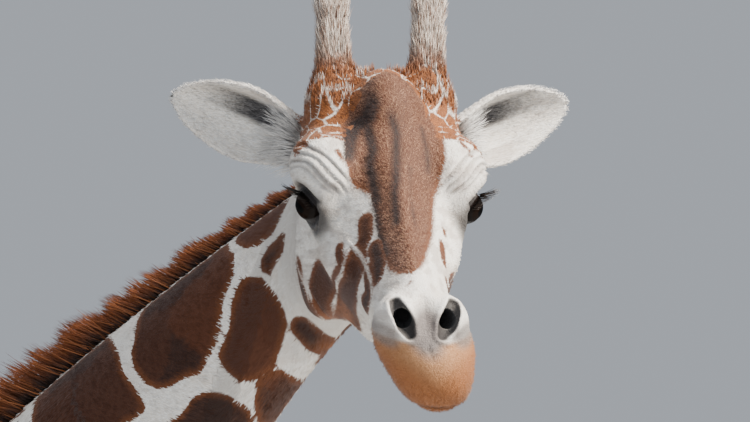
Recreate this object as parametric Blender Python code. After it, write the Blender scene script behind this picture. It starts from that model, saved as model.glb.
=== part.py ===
"""A standing reticulated giraffe cow at life size, with one named solid for each part of her body.

Her flesh is one smooth form: sweeps along the spine and the limbs, ellipsoids for muscles, and a head
lofted along its own axis, all blended together. It is meshed region by region and parted by thin cuts.
Axes in metres: +X is the way the trunk faces, +Y her left, +Z up. She looks round to her right.
"""

import math

import bmesh
import bpy
import numpy as np
import openvdb
from mathutils import Matrix, Vector

# Driving dimensions
SHOULDER_HALF = 0.30
NECK_LENGTH = 1.63
NECK_SLOPE = math.radians(47.5)
FORE_FOOT_X, HIND_FOOT_X = 0.53, -0.80
FOOT_HALF_SPREAD = 0.165
HOOF_HEIGHT = 0.105
HEAD_YAW, HEAD_PITCH, HEAD_ROLL = map(math.radians, (-54.2, -17.5, -1.0))
EYE_RADIUS = 0.028
EYE_PLACE = (0.014, 0.110, 0.004)
OSSICONE_LENGTH = 0.17
EAR_LENGTH = 0.214
EAR_WALL = 0.007
MANE_HEIGHT = 0.090
LIP_PULL = 0.026
TAIL_END_Z, TUFT_END_Z = 1.30, 0.74
# Solids stand this far apart where they meet.
GAP = 0.0005

# How far each foot is set ahead of its place, so that she stands easily and not like a table.
STAGGER = {"fore_left": -0.05, "fore_right": 0.05, "hind_left": 0.06, "hind_right": -0.06}

NECK_BASE = np.array([0.60, 0.0, 2.42])
NECK_TOP = NECK_BASE + NECK_LENGTH * np.array([math.cos(NECK_SLOPE), 0, math.sin(NECK_SLOPE)])
LEFT = np.array([0.0, 1.0, 0.0])


def head_axes():
    """Columns: the head's own forward, left and up in the body's axes."""
    turn = (
        Matrix.Rotation(HEAD_YAW, 3, "Z")
        @ Matrix.Rotation(-HEAD_PITCH, 3, "Y")
        @ Matrix.Rotation(HEAD_ROLL, 3, "X")
    )
    return np.array(turn)


HEAD_AXES = head_axes()
# The head's origin lies midway between the eyes, ahead of and above the neck's top.
HEAD_ORIGIN = NECK_TOP + HEAD_AXES @ np.array([0.15, 0.0, 0.07])


# ---------------------------------------------------------------- distances


def smooth_union(a, b, width):
    """The nearer of two distances, with a fillet of this width where they meet."""
    share = np.clip(0.5 + 0.5 * (b - a) / width, 0, 1)
    return b + (a - b) * share - width * share * (1 - share)


def smooth_cut(a, b, width):
    """Distance a with the form of distance b taken out of it."""
    return -smooth_union(-a, b, width)


def curve_through(rows, steps):
    """Rows on a smooth Catmull-Rom curve through the given rows, this many for each span."""
    rows = np.array(rows, float)
    ends = np.vstack([2 * rows[0] - rows[1], rows, 2 * rows[-1] - rows[-2]])
    t = np.linspace(0, 1, steps, endpoint=False)[:, None]
    spans = [
        b + t / 2 * (c - a + t * (2 * a - 5 * b + 4 * c - d + t * (3 * (b - c) + d - a)))
        for a, b, c, d in zip(ends, ends[1:], ends[2:], ends[3:])
    ]
    return np.vstack([*spans, rows[-1:]])


def blob(points, centre, radii, pitch=0.0):
    """Distance to an ellipsoid, tipped nose-up by pitch about its left axis."""
    offset = points - centre
    away = np.linalg.norm(offset, axis=1)
    if pitch:
        c, s = math.cos(pitch), math.sin(pitch)
        x, z = offset[:, 0], offset[:, 2]
        offset = np.stack([c * x + s * z, offset[:, 1], c * z - s * x], 1)
    scaled = np.linalg.norm(offset / radii, axis=1)
    return away - (away + 1e-9) / (scaled + 1e-9 / min(radii))


def sweep(points, knots, side):
    """Distance to a limb. Knots hold x, y, z, half-width along side, and half-depth."""
    nearest = np.full(len(points), np.inf)
    found = np.zeros(len(points))
    for start, end in zip(knots, knots[1:]):
        axis = end[:3] - start[:3]
        share = np.clip((points - start[:3]) @ axis / (axis @ axis), 0, 1)[:, None]
        offset = points - start[:3] - share * axis
        wide, deep = (start[3:] + share * (end[3:] - start[3:])).T
        away = np.linalg.norm(offset, axis=1)
        across = offset @ side
        rest = np.sqrt(np.maximum(away**2 - across**2, 0))
        scaled = np.hypot(across / wide, rest / deep)
        reach = (away + 1e-9) / (scaled + 1e-9 / np.minimum(wide, deep))
        closer = away < nearest
        found = np.where(closer, away - reach, found)
        nearest = np.minimum(nearest, away)
    return found


class Form:
    """A distance that matters only inside a box, and how softly it joins what is there already."""

    def __init__(self, distance, low, high, blend):
        margin = 0.03 + blend
        self.distance = distance
        self.low = np.array(low, float) - margin
        self.high = np.array(high, float) + margin
        self.blend = blend


def sweep_form(rows, blend, side=LEFT, steps=6):
    knots = curve_through(rows, steps)
    reach = knots[:, 3:].max()
    low = knots[:, :3].min(0) - reach
    high = knots[:, :3].max(0) + reach
    return Form(lambda points: sweep(points, knots, side), low, high, blend)


def blob_form(centre, radii, blend, pitch=0.0):
    centre = np.array(centre, float)
    reach = max(radii)
    return Form(lambda points: blob(points, centre, radii, pitch), centre - reach, centre + reach, blend)


def joined(forms, points):
    """Distance to all the forms blended together, in their order."""
    found = np.full(len(points), 1.0)
    for form in forms:
        near = np.all((points > form.low) & (points < form.high), axis=1)
        if near.any():
            found[near] = smooth_union(found[near], form.distance(points[near]), form.blend)
    return found


# ---------------------------------------------------------------- trunk, neck, legs and tail

# x, y, z of the middle, half-width, half-depth
TRUNK_ROWS = [
    (-0.93, 0, 1.99, 0.130, 0.15),
    (-0.80, 0, 1.99, 0.215, 0.275),
    (-0.55, 0, 1.992, 0.265, 0.350),
    (-0.25, 0, 2.012, 0.300, 0.412),
    (0.05, 0, 2.055, SHOULDER_HALF + 0.01, 0.470),
    (0.30, 0, 2.110, SHOULDER_HALF - 0.02, 0.510),
    (0.50, 0, 2.14, 0.235, 0.48),
    (0.66, 0, 2.16, 0.180, 0.36),
]

# Share of the way from the neck's base to its top, sag below the straight line, half-width, half-depth
NECK_SHAPE = [
    (-0.22, 0.04, 0.200, 0.46),
    (0.00, 0.00, 0.185, 0.40),
    (0.15, -0.015, 0.150, 0.315),
    (0.35, -0.044, 0.118, 0.242),
    (0.60, -0.062, 0.098, 0.182),
    (0.80, -0.048, 0.086, 0.133),
    (0.92, -0.026, 0.079, 0.107),
]

# Places after the foot's own x and y, at these heights: forward, outward, height, half-width, half-depth
FORE_LEG = [
    (-0.13, 0.060, 2.25, 0.07, 0.21),
    (-0.03, 0.065, 1.98, 0.095, 0.19),
    (-0.09, 0.045, 1.70, 0.088, 0.140),
    (-0.075, 0.025, 1.42, 0.070, 0.094),
    (-0.060, 0.010, 1.12, 0.055, 0.064),
    (-0.050, 0.005, 0.97, 0.055, 0.062),
    (-0.048, 0.003, 0.885, 0.057, 0.064),
    (-0.057, 0.002, 0.79, 0.043, 0.048),
    (-0.060, 0.000, 0.55, 0.036, 0.042),
    (-0.063, 0.000, 0.35, 0.040, 0.047),
    (-0.060, 0.000, 0.265, 0.049, 0.056),
    (-0.030, 0.000, 0.17, 0.046, 0.049),
    (-0.008, 0.000, 0.10, 0.062, 0.066),
]
HIND_LEG = [
    (0.10, 0.020, 2.02, 0.12, 0.22),
    (0.13, 0.050, 1.75, 0.115, 0.215),
    (0.14, 0.050, 1.52, 0.098, 0.160),
    (0.06, 0.030, 1.28, 0.073, 0.110),
    (-0.035, 0.012, 1.06, 0.050, 0.073),
    (-0.085, 0.004, 0.92, 0.050, 0.072),
    (-0.085, 0.002, 0.83, 0.048, 0.062),
    (-0.075, 0.000, 0.72, 0.042, 0.050),
    (-0.068, 0.000, 0.52, 0.037, 0.043),
    (-0.064, 0.000, 0.34, 0.041, 0.047),
    (-0.060, 0.000, 0.265, 0.049, 0.056),
    (-0.030, 0.000, 0.17, 0.046, 0.049),
    (-0.008, 0.000, 0.10, 0.060, 0.064),
]

TAIL_ROWS = [
    (-0.90, 0, 2.07, 0.050, 0.060),
    (-1.00, 0, 2.03, 0.036, 0.042),
    (-1.06, 0, 1.90, 0.026, 0.028),
    (-1.075, 0, 1.65, 0.019, 0.020),
    (-1.075, 0, 1.42, 0.015, 0.015),
    (-1.07, 0, TAIL_END_Z - 0.04, 0.015, 0.015),
]
TUFT_ROWS = [
    (-1.07, 0, TAIL_END_Z + 0.03, 0.016, 0.016),
    (-1.07, 0, 1.18, 0.030, 0.032),
    (-1.065, 0, 1.02, 0.040, 0.043),
    (-1.06, 0, 0.88, 0.034, 0.038),
    (-1.055, 0, TUFT_END_Z + 0.02, 0.010, 0.012),
]


def neck_rows():
    """Knots up the neck, which end in the head behind the jaw."""
    run = NECK_TOP - NECK_BASE
    upright = np.array([-run[2], 0, run[0]]) / NECK_LENGTH
    rows = []
    for share, sag, wide, deep in NECK_SHAPE:
        rows.append([*(NECK_BASE + share * run - sag * upright), wide, deep])
    nape = HEAD_ORIGIN + HEAD_AXES @ np.array([-0.140, -0.01, -0.085])
    return [*rows, [*nape, 0.082, 0.106]]


def foot_place(leg):
    x = FORE_FOOT_X if leg.startswith("fore") else HIND_FOOT_X
    side = 1 if leg.endswith("left") else -1
    return x + STAGGER[leg], side * FOOT_HALF_SPREAD, side


def leg_form(leg):
    """The leg's sweep. The foot is set by the stagger, which fades out towards the shoulder or hip."""
    x, y, side = foot_place(leg)
    rows = []
    for forward, outward, height, wide, deep in FORE_LEG if leg.startswith("fore") else HIND_LEG:
        planted = min(1.0, max(0.0, (1.75 - height) / 1.5))
        rows.append((x + forward - (1 - planted) * STAGGER[leg], y + side * outward, height, wide, deep))
    return sweep_form(rows, blend=0.07)


def muscle_forms():
    """Paired muscles and bones that shape the shoulder, the hip and the withers."""
    forms = [
        blob_form((0.36, 0, 2.50), (0.30, 0.085, 0.215), 0.12),
        blob_form((0.62, 0, 2.02), (0.20, 0.15, 0.22), 0.10),
        blob_form((-0.74, 0, 2.16), (0.22, 0.12, 0.10), 0.10),
    ]
    for side in (1, -1):
        forms += [
            blob_form((0.44, side * 0.165, 2.22), (0.17, 0.115, 0.34), 0.09, pitch=-0.25),
            blob_form((0.60, side * 0.155, 1.98), (0.12, 0.10, 0.15), 0.08),
            blob_form((0.40, side * 0.19, 1.84), (0.14, 0.085, 0.15), 0.08),
            blob_form((-0.62, side * 0.155, 2.10), (0.12, 0.13, 0.13), 0.09),
            blob_form((-0.84, side * 0.125, 1.93), (0.11, 0.10, 0.22), 0.09),
            blob_form((-0.56, side * 0.175, 1.62), (0.14, 0.09, 0.20), 0.09, pitch=0.3),
        ]
    return forms


def body_forms():
    trunk = sweep_form(TRUNK_ROWS, blend=0.05)
    neck = sweep_form(neck_rows(), blend=0.14)
    tail = sweep_form(TAIL_ROWS, blend=0.04)
    legs = [leg_form(leg) for leg in STAGGER]
    return [trunk, *muscle_forms(), *legs, tail, neck]


# ---------------------------------------------------------------- head

# Forward, top, bottom, then half-widths high, half-way and low on the face
FACE = [
    (-0.215, 0.045, -0.060, 0.050, 0.060, 0.045),
    (-0.160, 0.095, -0.150, 0.075, 0.094, 0.068),
    (-0.100, 0.128, -0.195, 0.088, 0.107, 0.076),
    (-0.040, 0.126, -0.208, 0.094, 0.107, 0.074),
    (0.020, 0.102, -0.204, 0.087, 0.096, 0.065),
    (0.080, 0.067, -0.187, 0.064, 0.086, 0.051),
    (0.150, 0.036, -0.168, 0.048, 0.070, 0.042),
    (0.220, 0.011, -0.158, 0.042, 0.058, 0.037),
    (0.290, -0.010, -0.156, 0.041, 0.053, 0.032),
    (0.340, -0.026, -0.158, 0.043, 0.053, 0.032),
]
FACE_CURVE = curve_through(FACE, 6)
FACE_SQUARENESS = 2.5

# Centre, radii and blend of the swellings on the face. Those off the middle are paired.
SWELLINGS = [
    ((-0.088, 0.000, 0.112), (0.074, 0.056, 0.062), 0.035),  # frontal boss
    ((-0.018, 0.086, 0.050), (0.078, 0.057, 0.050), 0.035),  # brow over the eye
    ((0.010, 0.100, 0.002), (0.048, 0.028, 0.036), 0.028),  # lids round the eye
    ((0.046, 0.070, -0.048), (0.085, 0.020, 0.024), 0.045),  # cheekbone under the eye
    ((-0.075, 0.069, -0.110), (0.085, 0.045, 0.085), 0.045),  # chewing muscle
    ((-0.150, 0.050, 0.050), (0.060, 0.045, 0.050), 0.040),  # back of the skull
    ((0.335, 0.000, -0.100), (0.070, 0.067, 0.056), 0.040),  # upper lip
    ((0.362, 0.000, -0.135), (0.046, 0.052, 0.047), 0.030),  # lip's overhang
    ((0.343, 0.035, -0.052), (0.044, 0.027, 0.026), 0.030),  # nostril's wing
    ((0.305, 0.000, -0.160), (0.060, 0.032, 0.026), 0.022),  # chin
]

OSSICONE_BASE = np.array([-0.115, 0.066, 0.105])
OSSICONE_AIM = np.array([-0.42, 0.03, 0.905])
# Share of the ossicone's length, radius
OSSICONE_SHAPE = [(-0.20, 0.050), (0.10, 0.045), (0.35, 0.036), (0.65, 0.028), (0.85, 0.030), (1.0, 0.024)]

EAR_ROOT = np.array([-0.125, 0.098, 0.046])
EAR_AIM = np.array([-0.400, 0.886, 0.220])
EAR_FACING = np.array([0.90, 0.42, -0.05])
# Share of the ear's length, half-width, depth of the cup at the middle line
EAR_SHAPE = [
    (0.00, 0.026, 0.020),
    (0.18, 0.041, 0.030),
    (0.45, 0.056, 0.029),
    (0.70, 0.048, 0.019),
    (0.88, 0.030, 0.010),
    (0.96, 0.016, 0.005),
    (1.00, 0.005, 0.002),
]
# Forward, outward and up from the head's origin, then radius, of the slit up the nostril
NOSTRIL_SHAPE = [(0.335, 0.045, -0.024, 0.005), (0.364, 0.034, -0.044, 0.009), (0.388, 0.023, -0.066, 0.005)]


def face_distance(points):
    """Distance to the skull and jaw, lofted along the head's axis."""
    x = np.clip(points[:, 0], FACE[0][0], FACE[-1][0])
    top, bottom, high, middle, low = (np.interp(x, FACE_CURVE[:, 0], c) for c in FACE_CURVE.T[1:])
    half = (top - bottom) / 2
    z = points[:, 2] - (top + bottom) / 2
    level = np.clip(z / half, -1, 1)
    wide = middle + level * (high - low) / 1.4 + level**2 * ((high + low) / 2 - middle) / 0.49
    y = np.abs(points[:, 1])
    power = FACE_SQUARENESS
    wide = np.maximum(wide, 0.02)
    scaled = ((y / wide) ** power + (np.abs(z) / half) ** power + 1e-9) ** (1 / power)
    away = np.hypot(y, z)
    around = away - (away + 1e-9) / (scaled + 1e-9)
    beyond = points[:, 0] - x
    return np.where(beyond == 0, around, np.hypot(np.maximum(around, 0), beyond) + np.minimum(around, 0) * 0.2)


def unit(vector):
    return np.asarray(vector) / np.linalg.norm(vector)


def ear_frame():
    """Columns: along the ear to its tip, across it, and out of its open side."""
    along = unit(EAR_AIM)
    across = unit(np.cross(EAR_FACING, along))
    return np.stack([along, across, np.cross(along, across)], 1)


EAR_FRAME = ear_frame()
EAR_CURVE = curve_through(EAR_SHAPE, 6)
OSSICONE_CURVE = curve_through(
    [[*(OSSICONE_BASE + s * OSSICONE_LENGTH * unit(OSSICONE_AIM)), r, r] for s, r in OSSICONE_SHAPE], 4
)
NOSTRIL_CURVE = curve_through([(*place, radius, radius) for *place, radius in NOSTRIL_SHAPE], 4)
# The gristle that carries the ear: along it, back from its cup, radius
EAR_STALK = curve_through(
    [
        [*(EAR_ROOT + EAR_FRAME @ [along, 0, out]), radius, radius]
        for along, out, radius in ((-0.02, -0.012, 0.034), (0.03, -0.030, 0.026), (0.08, -0.036, 0.010))
    ],
    4,
)


def ear_distance(points):
    """Distance to a cupped leaf with a rounded rim, thick-walled at its root."""
    along, across, out = ((points - EAR_ROOT) @ EAR_FRAME).T
    share = along / EAR_LENGTH
    shares, half_widths, depths = EAR_CURVE.T
    wide = np.interp(share, shares, half_widths)
    depth = np.interp(share, shares, depths)
    level = across / wide
    slope = np.where(np.abs(level) < 1.3, 2 * depth * level / wide, 0)
    sheet = (out + depth * (1 - np.minimum(level**2, 1.7))) / np.sqrt(1 + slope**2)
    half_wall = EAR_WALL / 2 * (1 + np.clip(0.5 - share, 0, 0.5))
    beyond = np.maximum(np.abs(across) - wide, np.maximum(-0.02 - along, along - EAR_LENGTH))
    return np.hypot(np.maximum(beyond + half_wall, 0), sheet) - half_wall


def lips_straight(points):
    """Takes back the pull of the lips to her left, so that both sides can be modelled alike."""
    pulled = np.clip((-0.07 - points[:, 2]) / 0.10, 0, 1) * np.clip((points[:, 0] - 0.18) / 0.12, 0, 1)
    return points - np.outer(LIP_PULL * pulled, LEFT)


def head_distance(points):
    """Distance to the whole head, in the head's own axes, alike on both sides but for the lips."""
    points = lips_straight(points)
    local = np.column_stack([points[:, 0], np.abs(points[:, 1]), points[:, 2]])
    found = face_distance(local)
    for centre, radii, blend in SWELLINGS:
        found = smooth_union(found, blob(local, np.array(centre), radii), blend)
    found = smooth_union(found, sweep(local, OSSICONE_CURVE, LEFT), 0.030)
    found = smooth_union(found, sweep(local, EAR_STALK, LEFT), 0.025)
    found = smooth_union(found, ear_distance(local), 0.010)
    return smooth_cut(found, sweep(local, NOSTRIL_CURVE, LEFT), 0.006)


def to_head(points):
    return (points - HEAD_ORIGIN) @ HEAD_AXES


def from_head(points):
    return HEAD_ORIGIN + np.asarray(points) @ HEAD_AXES.T


HEAD_REACH = 0.48
HEAD_FORM = Form(
    lambda points: head_distance(to_head(points)), HEAD_ORIGIN - HEAD_REACH, HEAD_ORIGIN + HEAD_REACH, 0.045
)
FLESH = [*body_forms(), HEAD_FORM]
CHUNK = 20000


def flesh(points):
    """Distance to all her flesh, in the body's axes."""
    return np.concatenate([joined(FLESH, points[i : i + CHUNK]) for i in range(0, len(points), CHUNK)])


def flesh_at_head(points):
    return flesh(from_head(points))


# ---------------------------------------------------------------- meshing and parting

BLOCK = 4


def distance_grid(distance, low, counts, voxel):
    """Distances at every point of a grid. Blocks that the surface can't cross share one value."""
    blocks = -(-counts // BLOCK)
    place = np.stack(np.meshgrid(*map(np.arange, blocks), indexing="ij"), -1).reshape(-1, 3)
    rough = distance(low + voxel * (BLOCK * (place + 0.5) - 0.5))
    near = np.abs(rough) < 2 * BLOCK * voxel
    steps = np.stack(np.meshgrid(*[np.arange(BLOCK)] * 3, indexing="ij"), -1).reshape(-1, 3)
    values = np.repeat(rough[:, None], BLOCK**3, axis=1)
    fine = low + voxel * (BLOCK * place[near][:, None] + steps)
    values[near] = distance(fine.reshape(-1, 3)).reshape(-1, BLOCK**3)
    grid = values.reshape(*blocks, BLOCK, BLOCK, BLOCK).transpose(0, 3, 1, 4, 2, 5)
    return grid.reshape(blocks * BLOCK)[: counts[0], : counts[1], : counts[2]]


def object_of(name, mesh):
    thing = bpy.data.objects.new(name, mesh)
    bpy.context.scene.collection.objects.link(thing)
    return thing


def shaped(name, shape):
    """An object made from a bmesh, which is used up."""
    mesh = bpy.data.meshes.new(name)
    shape.to_mesh(mesh)
    shape.free()
    return object_of(name, mesh)


def meshed(name, kind, distance, low, high):
    """A solid whose surface lies where distance is zero, closed at the sides of the box and then thinned."""
    voxel, triangles = DETAIL[kind]
    low, high = np.array(low, float), np.array(high, float)
    counts = np.ceil((high - low) / voxel).astype(int) + 1
    values = distance_grid(distance, low, counts, voxel).astype(np.float32)
    for side in (0, -1):
        values[side] = values[:, side] = values[:, :, side] = voxel
    volume = openvdb.FloatGrid(voxel)
    volume.copyFromArray(values)
    places, quads = volume.convertToQuads(0.0)
    mesh = bpy.data.meshes.new(name)
    mesh.from_pydata(places * voxel + low, [], quads.tolist())
    thing = object_of(name, mesh)
    thinned(thing, triangles)
    return thing


def lofted(name, rings):
    """A closed solid through rings that have as many points each."""
    shape = bmesh.new()
    loops = [[shape.verts.new(point) for point in ring] for ring in rings]
    for first, second in zip(loops, loops[1:]):
        for i in range(len(first)):
            j = (i + 1) % len(first)
            shape.faces.new((first[i], first[j], second[j], second[i]))
    shape.faces.new(loops[0][::-1])
    shape.faces.new(loops[-1])
    bmesh.ops.recalc_face_normals(shape, faces=shape.faces)
    bmesh.ops.triangulate(shape, faces=shape.faces)
    return shaped(name, shape)


def edit(thing, change):
    """Runs a change on the thing's mesh as a bmesh."""
    shape = bmesh.new()
    shape.from_mesh(thing.data)
    change(shape)
    shape.to_mesh(thing.data)
    shape.free()


def keep_largest(thing):
    """Deletes all but the body with the most points."""

    def change(shape):
        left = set(shape.verts)
        bodies = []
        while left:
            body, edge = [], [left.pop()]
            while edge:
                vert = edge.pop()
                body.append(vert)
                near = {e.other_vert(vert) for e in vert.link_edges} & left
                left -= near
                edge.extend(near)
            bodies.append(body)
        for body in sorted(bodies, key=len)[:-1]:
            bmesh.ops.delete(shape, geom=body, context="VERTS")

    edit(thing, change)


def applied(thing):
    """Bakes the modifiers into the mesh."""
    graph = bpy.context.evaluated_depsgraph_get()
    mesh = bpy.data.meshes.new_from_object(thing.evaluated_get(graph))
    thing.modifiers.clear()
    thing.data = mesh


def thinned(thing, triangles):
    """Collapses edges until about this many triangles are left."""
    keep_largest(thing)
    thing.data.calc_loop_triangles()
    modifier = thing.modifiers.new("Thin", "DECIMATE")
    modifier.ratio = min(1.0, triangles / len(thing.data.loop_triangles))
    applied(thing)


def trimmed(thing, point, towards):
    """Cuts off all that lies beyond a plane and caps the cut. The plane is in the thing's own axes."""
    towards = unit(towards)

    def change(shape):
        everything = [*shape.verts, *shape.edges, *shape.faces]
        plane = Vector(point) - GAP / 2 * Vector(towards)
        bmesh.ops.bisect_plane(
            shape, geom=everything, dist=1e-6, plane_co=plane, plane_no=towards, clear_outer=True
        )
        rim = [edge for edge in shape.edges if edge.is_boundary]
        bmesh.ops.holes_fill(shape, edges=rim, sides=0)
        bmesh.ops.triangulate(shape, faces=[face for face in shape.faces if len(face.verts) > 4])
        bmesh.ops.dissolve_degenerate(shape, dist=1e-5, edges=shape.edges)

    edit(thing, change)
    keep_largest(thing)


def carved(thing, tool, operation="DIFFERENCE"):
    modifier = thing.modifiers.new(operation.title(), "BOOLEAN")
    modifier.operation = operation
    modifier.object = tool
    modifier.solver = "EXACT"
    applied(thing)
    keep_largest(thing)


def as_cutter(thing):
    thing.hide_render = True
    thing.display_type = "WIRE"
    return thing


def block(name, point, towards, across, size):
    """A cutter: a box whose near face passes through point, square to towards and centred on it."""
    towards = unit(towards)
    across = unit(across - towards * (towards @ across))
    turn = np.stack([towards, across, np.cross(towards, across)], 1)
    shape = bmesh.new()
    bmesh.ops.create_cube(shape, size=1.0)
    bmesh.ops.translate(shape, vec=(0.5, 0, 0), verts=shape.verts)
    bmesh.ops.scale(shape, vec=size, verts=shape.verts)
    shape.transform(Matrix.Translation(point) @ Matrix(turn.tolist()).to_4x4())
    return as_cutter(shaped(name, shape))


def swollen(thing, amount):
    """A cutter the shape of the thing, larger by this much all over."""
    copy = object_of(thing.name + "_swollen", thing.data.copy())
    copy.matrix_world = thing.matrix_world
    modifier = copy.modifiers.new("Swell", "DISPLACE")
    modifier.mid_level = 0
    modifier.strength = amount
    return as_cutter(copy)


def ball(name, centre, radius):
    """A sphere whose poles lie to left and right."""
    shape = bmesh.new()
    bmesh.ops.create_uvsphere(shape, u_segments=14, v_segments=9, radius=radius)
    shape.transform(Matrix.Translation(centre) @ Matrix.Rotation(math.pi / 2, 4, "X"))
    return shaped(name, shape)


def material(name, colour, roughness):
    made = bpy.data.materials.new(name)
    made.use_nodes = True
    shader = made.node_tree.nodes["Principled BSDF"]
    shader.inputs["Base Color"].default_value = (*colour, 1)
    shader.inputs["Roughness"].default_value = roughness
    return made


# ---------------------------------------------------------------- nodes

PAIR = {"left": 1, "right": -1}
HEAD_PLACE = Matrix.Translation(HEAD_ORIGIN) @ Matrix(HEAD_AXES.tolist()).to_4x4()

# Where the head is parted from the neck, in the head's axes: behind the ears and the jaw's corner
POLL = (-0.165, 0.0, -0.10)
POLL_AIM = (0.90, 0.20, 0.25)
# Where the ear and the ossicone leave the head, and the box that parts each from it
EAR_CUT, EAR_BOX = 0.022, (0.26, 0.135, 0.110)
OSSICONE_CUT, OSSICONE_BOX = 0.22, (0.25, 0.110, 0.130)
# A point and an aim for each of the other cuts
TAIL_CUT = (-1.035, 0.0, 0.0), (-1.0, 0.0, 0.0)
FORE_CUT = (0.50, 0.0, 1.555), (0.0, 0.0, 1.0)
HIND_CUT = (-0.72, 0.0, 1.650), (0.30, 0.0, 0.95)
NECK_CUT = NECK_BASE + 0.06 * (NECK_TOP - NECK_BASE), NECK_TOP - NECK_BASE
CORONET_AIM = (-0.32, 0.0, 1.0)

# The grid's step and the number of triangles that each kind of solid is thinned to
DETAIL = {
    "head": (0.006, 2750),
    "ossicone": (0.006, 220),
    "ear": (0.0035, 420),
    "neck": (0.014, 1500),
    "trunk": (0.018, 1500),
    "leg": (0.010, 520),
    "tail": (0.007, 240),
    "tuft": (0.008, 220),
}
# Opposite corners of the room that each solid is meshed in, the head's in its own axes
HEAD_ROOM = (-0.34, -0.22, -0.42), (0.42, 0.22, 0.20)
NECK_ROOM = NECK_BASE + (-0.50, -0.35, -0.45), [HEAD_ORIGIN[0] + 0.20, 0.35, HEAD_ORIGIN[2] + 0.30]
TRUNK_ROOM = (-1.25, -0.42, 1.30), (1.05, 0.42, 2.95)
TAIL_ROOM = (-1.22, -0.10, TAIL_END_Z - 0.10), (-0.95, 0.10, 2.20)
TUFT_ROOM = (-1.25, -0.09, TUFT_END_Z - 0.14), (-0.98, 0.09, TAIL_END_Z + 0.10)
LEG_BEHIND, LEG_AHEAD, LEG_ASIDE, LEG_UP = 0.40, 0.48, 0.17, 1.80
# Half the length of the block that parts each pair of legs from the trunk
FORE_REACH, HIND_REACH = 0.35, 0.45

# Height, length, width and how far back each ring of a claw is
CLAW_ROWS = [
    (0.0, 0.205, 0.080, -0.020),
    (0.030, 0.190, 0.078, -0.014),
    (HOOF_HEIGHT, 0.128, 0.062, 0.004),
]
CLAW_SIDES = 12
CLEFT_HALF = 0.003
MANE_HALF, MANE_ROOT, MANE_RINGS = 0.016, 0.03, 22


def mirrored(place, side):
    return np.array(place) * [1, side, 1]


def ear_cut(side):
    """A point and an aim for the plane where the ear leaves the head."""
    return mirrored(EAR_ROOT + EAR_CUT * EAR_FRAME[:, 0], side), mirrored(EAR_AIM, side)


def ossicone_cut(side):
    base = OSSICONE_BASE + OSSICONE_CUT * OSSICONE_LENGTH * unit(OSSICONE_AIM)
    return mirrored(base, side), mirrored(OSSICONE_AIM, side)


def parted(head, kind, name, point, aim, across, size):
    """A piece of the head, cut from it by a box and meshed at its own fineness."""
    name = f"{kind}_{name}"
    outer = block(name + "_outer", point, aim, across, size)
    inner_size = np.array(size) - (0, 2 * GAP, 2 * GAP)
    inner = block(name + "_inner", point + GAP * unit(aim), aim, across, inner_size)
    corners = np.array([vert.co for vert in outer.data.vertices])
    step = DETAIL[kind][0]
    piece = meshed(name, kind, flesh_at_head, corners.min(0) - step, corners.max(0) + step)
    carved(piece, inner, "INTERSECT")
    carved(head, outer)
    return piece


def add_head():
    """The head with its sockets, and the ears, ossicones and eyes that are nodes of their own."""
    head = meshed("head", "head", flesh_at_head, *HEAD_ROOM)
    trimmed(head, POLL, [-c for c in POLL_AIM])
    pieces = [head]
    for name, side in PAIR.items():
        pieces.append(parted(head, "ossicone", name, *ossicone_cut(side), LEFT, OSSICONE_BOX))
        pieces.append(parted(head, "ear", name, *ear_cut(side), mirrored(EAR_FRAME[:, 1], side), EAR_BOX))
        centre = mirrored(EYE_PLACE, side)
        carved(head, as_cutter(ball(f"socket_{name}", centre, EYE_RADIUS + GAP)))
        pieces.append(ball(f"eye_{name}", centre, EYE_RADIUS))
    for piece in pieces:
        piece.matrix_world = HEAD_PLACE
    return pieces


def add_neck():
    neck = meshed("neck", "neck", flesh, *NECK_ROOM)
    trimmed(neck, from_head(POLL), HEAD_AXES @ np.array(POLL_AIM))
    trimmed(neck, NECK_CUT[0], -NECK_CUT[1])
    return neck


def leg_block(kind, point, up, reach):
    """A cutter under the plane where one pair of legs leaves the trunk, this far to front and back."""
    return block(kind + "_cutter", point, -np.array(up), LEFT, (0.5, 1.0, 2 * reach))


def add_trunk():
    trunk = meshed("trunk", "trunk", flesh, *TRUNK_ROOM)
    trimmed(trunk, *NECK_CUT)
    carved(trunk, leg_block("fore", *FORE_CUT, FORE_REACH))
    carved(trunk, leg_block("hind", *HIND_CUT, HIND_REACH))
    trimmed(trunk, *TAIL_CUT)
    return trunk


def add_leg(leg):
    """One leg from below the trunk to the top of the hoof."""
    x, y, _ = foot_place(leg)
    end, side = leg.split("_")
    low = (x - LEG_BEHIND, y - LEG_ASIDE, 0.03)
    high = (x + LEG_AHEAD, y + LEG_ASIDE, LEG_UP)
    thing = meshed(f"{end}leg_{side}", "leg", flesh, low, high)
    trimmed(thing, (x, 0, HOOF_HEIGHT), [-c for c in CORONET_AIM])
    trimmed(thing, *(FORE_CUT if end == "fore" else HIND_CUT))
    return thing


def claw_ring(length, width, set_back):
    """Points round a claw: flat on its inner side, rounded outside and pointed in front."""
    ring = []
    for step in range(CLAW_SIDES):
        turn = 2 * math.pi * step / CLAW_SIDES
        x, y = math.cos(turn), math.sin(turn)
        bulge = 0.50 if y > 0 else 0.42
        out = width * (0.5 + bulge * y) * (1 - 0.35 * max(x, 0) ** 2)
        ring.append((x * length / 2 - set_back, CLEFT_HALF + out))
    return ring


def add_hooves(leg):
    """The two claws of one cloven foot, cut square to the pastern at their tops."""
    x, y, side = foot_place(leg)
    slope = -CORONET_AIM[0] / CORONET_AIM[2]
    claws = []
    for name, way in (("outer", side), ("inner", -side)):
        rings = []
        for height, *sizes in CLAW_ROWS:
            top = height == HOOF_HEIGHT
            ring = claw_ring(*sizes)
            rings.append([(x + a, y + way * b, height + top * (slope * a - GAP)) for a, b in ring])
        claws.append(lofted(f"hoof_{leg}_{name}", rings))
    return claws


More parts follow.
